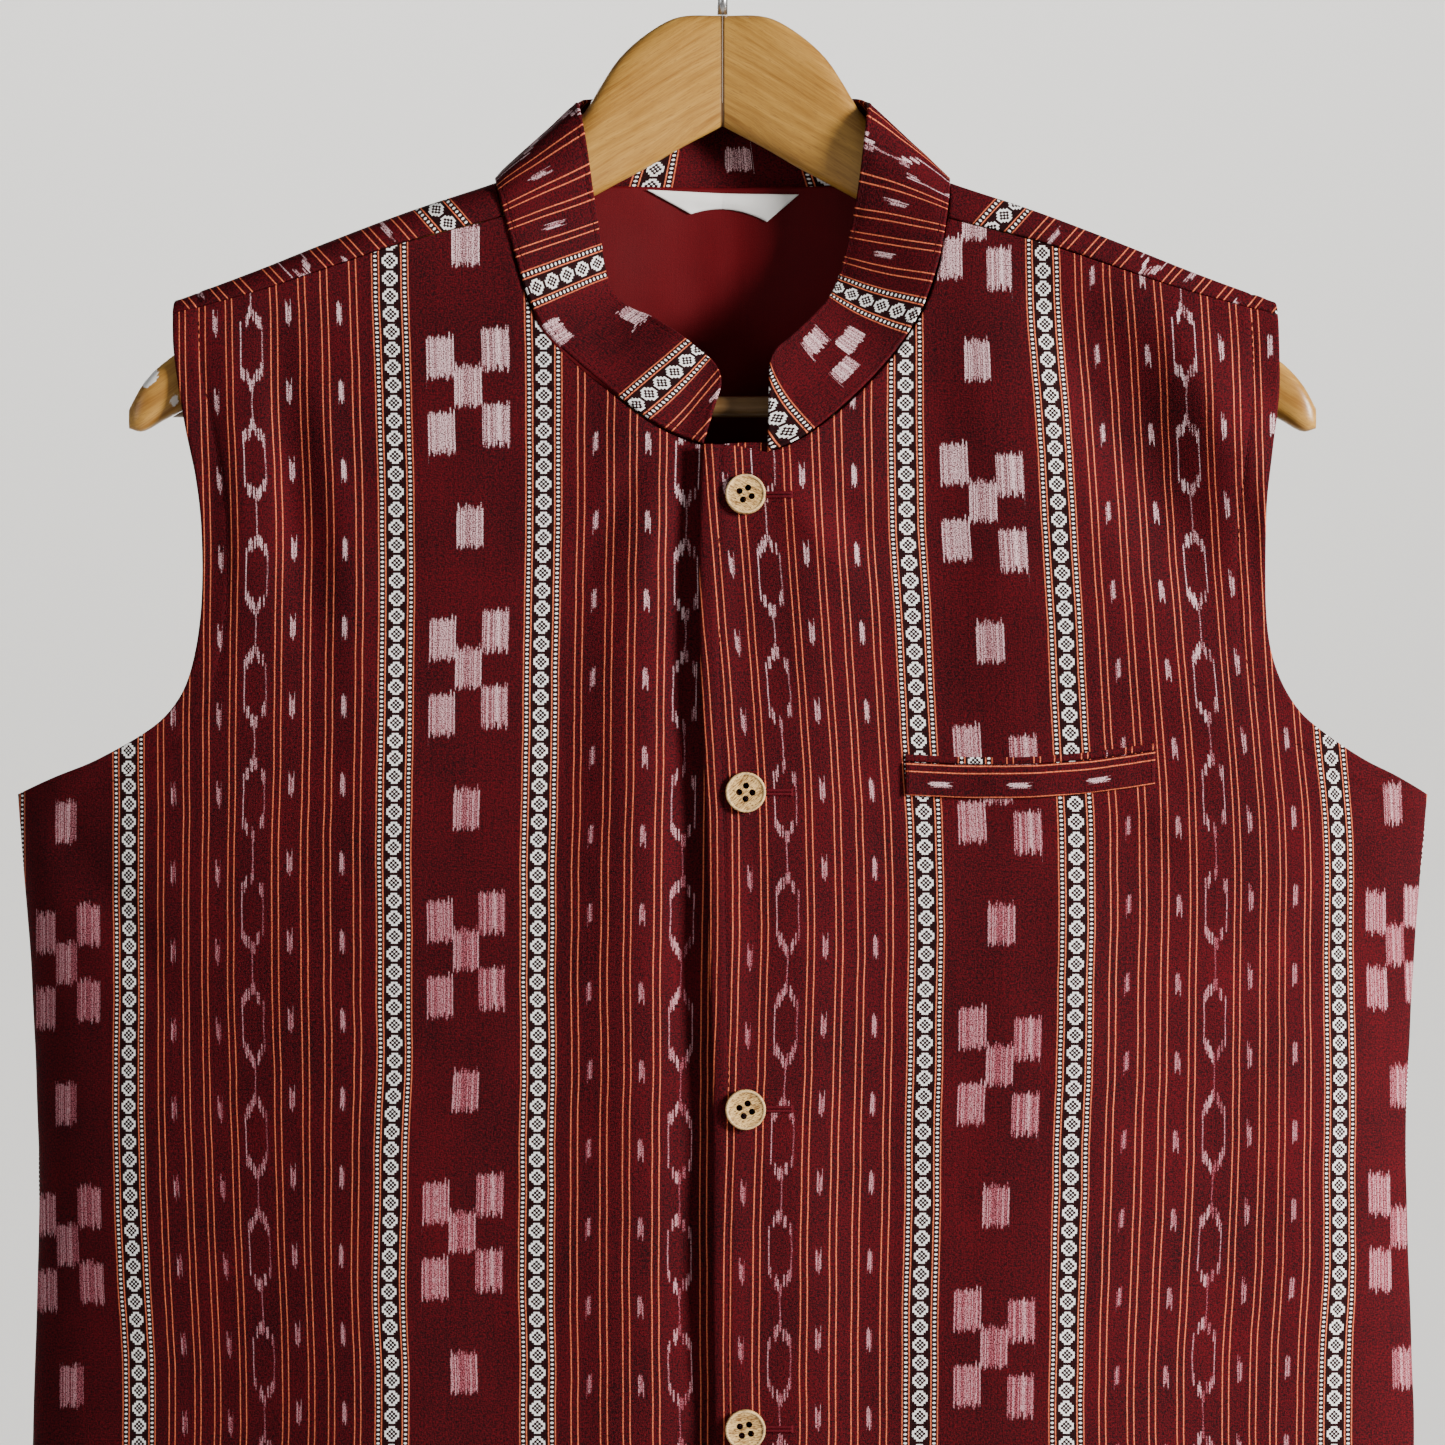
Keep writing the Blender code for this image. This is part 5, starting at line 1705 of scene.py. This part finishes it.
def collar_line(edge):
    """The stitched line under the collar's top edge and round its ends, or above its seam."""
    points = []
    for step in range(240):
        length = mix(COLLAR_STITCH, band.total - COLLAR_STITCH, step / 239.0)
        _, height = collar_height(length)
        above = height - COLLAR_STITCH if edge == "top" else SEAM_GAP + COLLAR_STITCH
        points.append(faced(*collar_point(length, above)))
    return points


def welt_end(x):
    points = []
    for step in range(9):
        z = welt_top(x) - mix(0.8, WELT_HEIGHT - 0.8, step / 8.0)
        lift = left_lift(x) + softness(True, x, z) + SEAM_GAP + WELT
        points.append(faced(*cloth_pair(True, x, z, lift, FAR_AWAY)))
    return points


dark_thread = sewing_thread("dark red thread", (0.018, 0.0025, 0.004), (0.07, 0.006, 0.010))
sewing = bmesh.new()
for side in SIGN:
    sewn_line(sewing, hole_line(True, side))
    sewn_line(sewing, hole_line(False, side))
sewn_line(sewing, lap_line())
sewn_line(sewing, hem_line(True, -4.0, 262.0))
sewn_line(sewing, hem_line(True, -262.0, -10.0))
sewn_line(sewing, hem_line(False, -262.0, 262.0))
sewn_line(sewing, collar_line("top"), *COLLAR_SEWING)
sewn_line(sewing, collar_line("seam"), *COLLAR_SEWING)
sewn_line(sewing, welt_end(WELT_LEFT_X + 1.3), *WELT_SEWING)
sewn_line(sewing, welt_end(WELT_RIGHT_X - 1.3), *WELT_SEWING)
stitches = add_piece("topstitching", sewing, dark_thread)

# Buttonholes
# Worked holes in the lap, which run out from under each button; a close row of stitches lies
# on each side of the slit and a bar closes its outer end.

BUTTON_X = 8.7
BUTTON_Z = (FIRST_BUTTON_Z, -360.2, -479.3, -599.5, -718.6)
HOLE_START_X = 9.5
HOLE_END_X = 25.6


def lap_surface(x, z):
    """The outside of the lap, and the way it faces."""
    from_lap = x - read_off(LAP_EDGE, -z)
    lift = front_lift("left", x, z, from_lap)
    return faced(*cloth_pair(True, x, z, lift, FAR_AWAY))


def buttonhole(bm, z):
    up = Vector((0.0, 0.0, 1.0))
    run = Vector((1.0, 0.0, 0.0))
    steps = 38
    for step in range(steps):
        x = mix(HOLE_START_X, HOLE_END_X, step / (steps - 1))
        for row in (-1.0, 1.0):
            shift = 0.12 * ripple(x * 1.7, z, row)
            spot, outward = lap_surface(x, z + row * (0.68 + shift * 0.5))
            add_stitch(bm, spot + outward * 0.5, up, outward, 1.4 + shift, 0.95)
    for step in range(8):
        spot, outward = lap_surface(HOLE_END_X + 0.35, z - 1.2 + 2.4 * step / 7.0)
        add_stitch(bm, spot + outward * 0.42, run, outward, 1.5, 0.7)


# Near-black grains along the middle of each buttonhole: painted shadow for the dark of the slit.
def slit(bm, z):
    for step in range(9):
        spot, outward = lap_surface(mix(HOLE_START_X, HOLE_END_X - 1.0, step / 8.0), z)
        add_stitch(bm, spot + outward * 0.46, Vector((1.0, 0.0, 0.0)), outward, 2.6, 0.42)


hole_sewing = bmesh.new()
slit_marks = bmesh.new()
for button_z in BUTTON_Z:
    buttonhole(hole_sewing, button_z)
    slit(slit_marks, button_z)
hole_thread = sewing_thread("buttonhole thread", (0.022, 0.002, 0.004), (0.17, 0.008, 0.016))
holes = add_piece("buttonholes", hole_sewing, hole_thread)
slit_dark = sewing_thread("slit shadow", (0.004, 0.001, 0.001), (0.012, 0.002, 0.003))
slits = add_piece("buttonhole_slits", slit_marks, slit_dark)

# Buttons
# Five turned wooden discs, sewn on without a shank, with a lighter top to the rim and four holes on
# a small square, whose insides are painted near black as shade. Each is cut from its own bit of wood,
# so the grain runs a different way.

BUTTON_HOLE_RADIUS = 1.12
BUTTON_HOLE_SPACING = 3.5
BUTTON_SIDES = 56
BUTTON_TURNS = (22.0, 43.0, 28.0, 12.0, 35.0)

# Turned profile of a button: radius, height
BUTTON_PROFILE = (
    (6.9, 0.0), (7.35, 0.18), (7.6, 0.6), (7.6, 2.2), (7.52, 2.62), (7.3, 2.88), (7.0, 2.96),
    (6.75, 2.86), (6.5, 2.62), (6.2, 2.5),
)


def ring_edges(ring):
    members = set(ring)
    return list({edge for vert in ring for edge in vert.link_edges if edge.other_vert(vert) in members})


def ring_at(bm, sides, radius, x, y, height):
    made = bmesh.ops.create_circle(bm, segments=sides, radius=radius)["verts"]
    bmesh.ops.translate(bm, verts=made, vec=(x, y, height))
    return made


def turned_button(number, z):
    bm = bmesh.new()
    grain_at = bm.verts.layers.float_vector.new("grain")
    rings = [ring_at(bm, BUTTON_SIDES, radius, 0.0, 0.0, height) for radius, height in BUTTON_PROFILE]
    for lower, upper in zip(rings, rings[1:]):
        bmesh.ops.bridge_loops(bm, edges=ring_edges(lower) + ring_edges(upper))
    floor, backing = ring_edges(rings[-1]), ring_edges(rings[0])
    half = BUTTON_HOLE_SPACING / 2.0
    bored = []
    for x, y in ((half, half), (-half, half), (-half, -half), (half, -half)):
        back_ring = ring_at(bm, 16, BUTTON_HOLE_RADIUS, x, y, 0.0)
        lip_ring = ring_at(bm, 16, BUTTON_HOLE_RADIUS, x, y, 2.3)
        face_ring = ring_at(bm, 16, BUTTON_HOLE_RADIUS + 0.14, x, y, 2.5)
        bmesh.ops.bridge_loops(bm, edges=ring_edges(back_ring) + ring_edges(lip_ring))
        bmesh.ops.bridge_loops(bm, edges=ring_edges(lip_ring) + ring_edges(face_ring))
        backing += ring_edges(back_ring)
        floor += ring_edges(face_ring)
        bored += back_ring + lip_ring
    bmesh.ops.triangle_fill(bm, use_beauty=True, edges=backing)
    bmesh.ops.triangle_fill(bm, use_beauty=True, edges=floor)
    bmesh.ops.recalc_face_normals(bm, faces=bm.faces)
    turn = math.radians(BUTTON_TURNS[number - 1])
    bmesh.ops.rotate(bm, verts=bm.verts, matrix=Matrix.Rotation(turn, 3, "Z"))
    bored = set(bored)
    # The grain's third value is the height on the button; inside the holes it is set to -6 so that the finish
    # paints them near black as shade.
    for vert in bm.verts:
        grain = Matrix.Rotation(turn * 2.6 + number, 3, "Z") @ vert.co
        vert[grain_at] = (grain.x + 40.0 * number, grain.y, -6.0 if vert in bored else vert.co.z)
    spot, _ = lap_surface(BUTTON_X, z)
    outward = cloth_normal(True, BUTTON_X, z)
    bmesh.ops.rotate(bm, verts=bm.verts, matrix=outward.to_track_quat("Z", "Y").to_matrix())
    bmesh.ops.translate(bm, verts=bm.verts, vec=spot + outward * 0.35)
    bmesh.ops.scale(bm, verts=bm.verts, vec=(MM, MM, MM))
    return bm


def button_wood():
    made, tree, shader = new_material("button wood")
    x, y, z = read_attribute(tree, "grain")
    fibres = cloud(tree, together(x / 0.35, y / 2.6, z / 0.8), 3.0)
    bands = cloud(tree, together(x / 1.9, y / 14.0, z / 3.0), 2.0)
    flecks = cloud(tree, together(x / 0.28, y / 1.1, z / 0.5), 1.0)
    tone = ((fibres - 0.5) * 3.6 + (bands - 0.5) * 1.6 + 0.60).least(1.0).most(0.0)
    colour = blended(tree, (0.24, 0.105, 0.026), (0.97, 0.62, 0.24), tone)
    colour = blended(tree, colour, (0.08, 0.030, 0.009), flecks.under(0.40, 0.06) * 0.85)
    # A lighter colour along the top of the rim, above about 2.7 mm.
    rim = z.under(2.72, 0.10).flipped()
    colour = blended(tree, colour, (0.95, 0.70, 0.38), rim * 0.4)
    # Painted shade: near black inside the holes, and darker on the back and the lowest part of the side,
    # fading out about 1 mm up.
    colour = blended(tree, colour, (0.012, 0.006, 0.004), z.under(-0.5, 1.5))
    tree.links.new(colour, shader.inputs["Base Color"])
    set_relief(tree, shader, (fibres - flecks.under(0.36, 0.06) * 0.5).socket, 0.35, 0.00012)
    tree.links.new((fibres * 0.25 + 0.42).socket, shader.inputs["Roughness"])
    shader.inputs["Specular IOR Level"].default_value = 0.35
    return made


button_finish = button_wood()
for number, z in enumerate(BUTTON_Z, start=1):
    button = add_piece(f"button_{number}_wood", turned_button(number, z), button_finish)
    button.data.set_sharp_from_angle(angle=math.radians(38.0))
    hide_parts(f"button_{number}")

# Hanger
# Two varnished wooden arms, mitred and glued in the middle, with a round bar between them. The
# grain runs along each arm, and white paint has rubbed off on the tip on the wearer's right.

ARM_THICK = 12.0
ARM_SQUARENESS = 0.75
NOSE_START_X = 216.0
NOSE_LENGTH = 9.6

# Upper and lower edge of an arm, by distance from the middle: x, top_z, bottom_z
HANGER_ARM = (
    (0.15, -62.0, -104.7),
    (17.0, -62.9, -113.8),
    (29.0, -69.4, -121.0),
    (40.0, -79.5, -127.0),
    (47.5, -91.0, -131.2),
    (53.0, -100.2, -134.3),
    (68.0, -114.1, -143.2),
    (84.6, -130.0, -152.9),
    (120.0, -150.4, -172.3),
    (165.0, -172.8, -195.6),
    (200.0, -189.4, -212.9),
    (212.0, -197.2, -219.2),
    (220.0, -205.8, -223.6),
    (225.4, -215.6, -222.4),
)


def arm_profile(x):
    return read_off(HANGER_ARM, x, 1), read_off(HANGER_ARM, x, 2)


def join_rings(bm, rings):
    """Bridges each ring to the next and closes both ends."""
    for first, second in zip(rings, rings[1:]):
        bmesh.ops.bridge_loops(bm, edges=ring_edges(first) + ring_edges(second))
    bmesh.ops.contextual_create(bm, geom=rings[0])
    bmesh.ops.contextual_create(bm, geom=rings[-1])
    bmesh.ops.recalc_face_normals(bm, faces=bm.faces)


def hanger_arm(name, sign, finish):
    """Rounded upright sections, bridged along the arm; the tip closes to a soft nose."""
    bm = bmesh.new()
    grain_at = bm.verts.layers.float_vector.new("grain")
    stops = [0.02, 1.0, 4.0] + spread(4.0, 60.0, 22) + [60.0] + spread(60.0, 213.0, 34) + [213.0]
    stops += [215.0, 217.0, 219.0, 220.7, 222.1, 223.2, 224.0, 224.6, 225.0]
    rings = []
    for x in stops:
        top_z, bottom_z = arm_profile(x)
        half_height = (top_z - bottom_z) / 2.0
        nose = math.sqrt(max(1.0 - max((x - NOSE_START_X) / NOSE_LENGTH, 0.0) ** 2, 0.05))
        ring = bmesh.ops.create_circle(bm, segments=36, radius=1.0)["verts"]
        for vert in ring:
            across = math.copysign(abs(vert.co.x) ** ARM_SQUARENESS, vert.co.x)
            upward = math.copysign(abs(vert.co.y) ** ARM_SQUARENESS, vert.co.y)
            y = across * ARM_THICK / 2.0 * nose
            z = (top_z + bottom_z) / 2.0 + upward * half_height
            vert[grain_at] = (x * 1.13, y, z + x * 0.62)
            vert.co = Vector((sign * x, y - ARM_FORWARD * x, z)) * MM
        rings.append(ring)
    join_rings(bm, rings)
    made = add_piece(name, bm, finish)
    made.data.set_sharp_from_angle(angle=math.radians(50.0))
    return made


def wood_grain():
    """Rings, fibres and pores of pale wood, white paint left near a tip, and a dark joint."""
    group, given, wanted = new_group(
        "wood grain",
        (("Dark", "NodeSocketColor"), ("Bright", "NodeSocketColor"), ("Paint", "NodeSocketFloat")),
        (("Colour", "NodeSocketColor"), ("Height", "NodeSocketFloat"), ("Dullness", "NodeSocketFloat")),
    )
    run, across, up = read_attribute(group, "grain")
    bend = cloud(group, together(run / 70.0, up / 26.0, across / 20.0), 1.0)
    level = up + (bend - 0.5) * 16.0
    rings = cloud(group, together(run / 190.0, level / 3.4, across / 5.0), 3.0)
    fibres = cloud(group, together(run / 9.0, level / 0.55, across / 0.9), 3.0)
    pores = cloud(group, together(run / 3.2, level / 0.32, across / 0.5), 1.0)
    stain = cloud(group, together(run / 24.0, up / 14.0, across / 9.0), 3.0)
    tone = (rings - 0.5) * 2.0 + (fibres - 0.5) * 1.0 + (stain - 0.5) * 0.8 + 0.5
    tone = tone.least(1.0).most(0.0)
    colour = blended(group, given.outputs["Dark"], given.outputs["Bright"], tone)
    marks = pores.under(0.34, 0.05)
    colour = blended(group, colour, (0.22, 0.10, 0.03), marks * 0.55)
    joint = run.under(0.8, 0.35)
    colour = blended(group, colour, (0.07, 0.03, 0.01), joint * 0.9)
    chips = cloud(group, together(run / 1.9, up / 1.6, across / 2.0), 3.0) * 3.6
    first, second = run - 245.0, up + 69.4
    large = (first * first * 0.7 + second * second).step("SQRT") + chips
    first, second = run - 234.5, up + 83.4
    small = (first * first + second * second).step("SQRT") + chips
    paint_left = Field(group, given.outputs["Paint"])
    painted = large.under(4.6, 0.25).most(small.under(3.7, 0.25) * 0.75) * paint_left
    colour = blended(group, colour, (0.84, 0.83, 0.81), painted)
    height = fibres * 0.6 - marks * 0.4 + painted * 1.6 - joint * 2.0
    dullness = stain * 0.16 + painted * 0.25 + 0.30
    group.links.new(colour, wanted.inputs["Colour"])
    group.links.new(height.socket, wanted.inputs["Height"])
    group.links.new(dullness.socket, wanted.inputs["Dullness"])
    return group


pale_grain = wood_grain()


def varnished_wood(name, dark, bright, paint_left=0.0):
    """Pale wood under varnish; paint_left is how much white paint is left near the tip."""
    made, tree, shader = new_material(name)
    grain = use_group(tree, pale_grain, Dark=(*dark, 1.0), Bright=(*bright, 1.0), Paint=paint_left)
    tree.links.new(grain.outputs["Colour"], shader.inputs["Base Color"])
    set_relief(tree, shader, grain.outputs["Height"], 0.25, 0.00015)
    tree.links.new(grain.outputs["Dullness"], shader.inputs["Roughness"])
    shader.inputs["Specular IOR Level"].default_value = 0.4
    shader.inputs["Coat Weight"].default_value = 0.15
    shader.inputs["Coat Roughness"].default_value = 0.25
    return made


WOOD_DARK = (0.28, 0.120, 0.019)
WOOD_BRIGHT = (0.55, 0.300, 0.062)
arm_left = hanger_arm("hanger_arm_left_wood", 1.0, varnished_wood("hanger wood", WOOD_DARK, WOOD_BRIGHT))
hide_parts("hanger_arm_left")
painted_wood = varnished_wood("hanger wood with paint", WOOD_DARK, WOOD_BRIGHT, 1.0)
arm_right = hanger_arm("hanger_arm_right_wood", -1.0, painted_wood)
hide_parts("hanger_arm_right")

BAR_RADIUS = 4.0
BAR_Z = -214.0
BAR_REACH = 188.0


def trouser_bar():
    """A round bar whose ends are cut to the slope of the arms' undersides."""
    low = [(-row[2], row[0]) for row in HANGER_ARM]
    bm = bmesh.new()
    grain_at = bm.verts.layers.float_vector.new("grain")
    rings = []
    for step in range(41):
        ring = bmesh.ops.create_circle(bm, segments=28, radius=BAR_RADIUS)["verts"]
        for vert in ring:
            across, upward = vert.co.x, vert.co.y
            end_x = read_off(low, -(BAR_Z + upward)) - 0.6
            x = mix(-end_x, end_x, step / 40.0)
            vert[grain_at] = (x + 500.0, across, upward)
            vert.co = Vector((x, across - ARM_FORWARD * BAR_REACH, BAR_Z + upward)) * MM
        rings.append(ring)
    join_rings(bm, rings)
    return bm


# The bar's wood is about half as bright as the arms': painted shade, for the shade the bar hangs in behind
# the collar.
bar_wood = varnished_wood("bar wood with painted shade", (0.13, 0.060, 0.018), (0.24, 0.130, 0.045))
bar = add_piece("trouser_bar_wood", trouser_bar(), bar_wood)
bar.data.set_sharp_from_angle(angle=math.radians(50.0))
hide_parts("trouser_bar")

# Hook
# Plain bright steel wire, bent into a question mark and driven into the top of the hanger,
# where it turns; the open end is rounded.

WIRE_RADIUS = 2.0
HOOK_RADIUS = 19.0


def hook_route():
    """From the open end over the top and down into the middle of the hanger."""
    bend = HOOK_RADIUS + WIRE_RADIUS
    points = []
    for step in range(73):
        turn = math.radians(mix(205.0, -60.0, step / 72.0))
        points.append((bend * math.cos(turn), -HOOK_RADIUS + bend * math.sin(turn)))
    low_z = points[-1][1]
    turned_off = math.radians(60.0)
    for step in range(1, 19):
        turn = mix(turned_off, 0.0, step / 18.0)
        points.append((bend * (1.0 - math.cos(turn)), low_z - bend * (math.sin(turned_off) - math.sin(turn))))
    points.append((0.0, HANGER_ARM[0][1] + 0.3))
    return points


def bent_wire():
    bm = bmesh.new()
    route = hook_route()
    rings = []
    start = Vector((route[0][0] - route[1][0], 0.0, route[0][1] - route[1][1])).normalized()
    caps = [(Vector((route[0][0], 0.0, route[0][1])) + start * WIRE_RADIUS * math.sin(turn), math.cos(turn))
            for turn in (1.45, 1.15, 0.8, 0.4)]
    centres = caps + [(Vector((x, 0.0, z)), 1.0) for x, z in route]
    for index, (centre, size) in enumerate(centres):
        after = centres[min(index + 1, len(centres) - 1)][0]
        before = centres[max(index - 1, 0)][0]
        facing = (after - before).normalized().to_track_quat("Z", "Y").to_matrix()
        ring = bmesh.ops.create_circle(bm, segments=20, radius=WIRE_RADIUS * size)["verts"]
        bmesh.ops.rotate(bm, verts=ring, matrix=facing)
        bmesh.ops.translate(bm, verts=ring, vec=centre)
        rings.append(ring)
    join_rings(bm, rings)
    bmesh.ops.scale(bm, verts=bm.verts, vec=(MM, MM, MM))
    return bm


def drawn_steel():
    made, tree, shader = new_material("hook steel")
    place = tree.nodes.new("ShaderNodeTexCoord")
    x, y, z = apart(tree, place.outputs["Object"])
    wear = cloud(tree, together(x / 0.006, z / 0.006, y / 0.002), 4.0)
    scratches = cloud(tree, together(x / 0.0006, z / 0.0035, y / 0.0006), 2.0)
    colour = blended(tree, (0.46, 0.46, 0.47), (0.66, 0.66, 0.66), wear)
    tree.links.new(colour, shader.inputs["Base Color"])
    tree.links.new((wear * 0.2 + scratches * 0.14 + 0.10).socket, shader.inputs["Roughness"])
    shader.inputs["Metallic"].default_value = 1.0
    set_relief(tree, shader, scratches.socket, 0.15, 0.00005)
    return made


hook = add_piece("hook_wire", bent_wire(), drawn_steel())
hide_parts("hook")
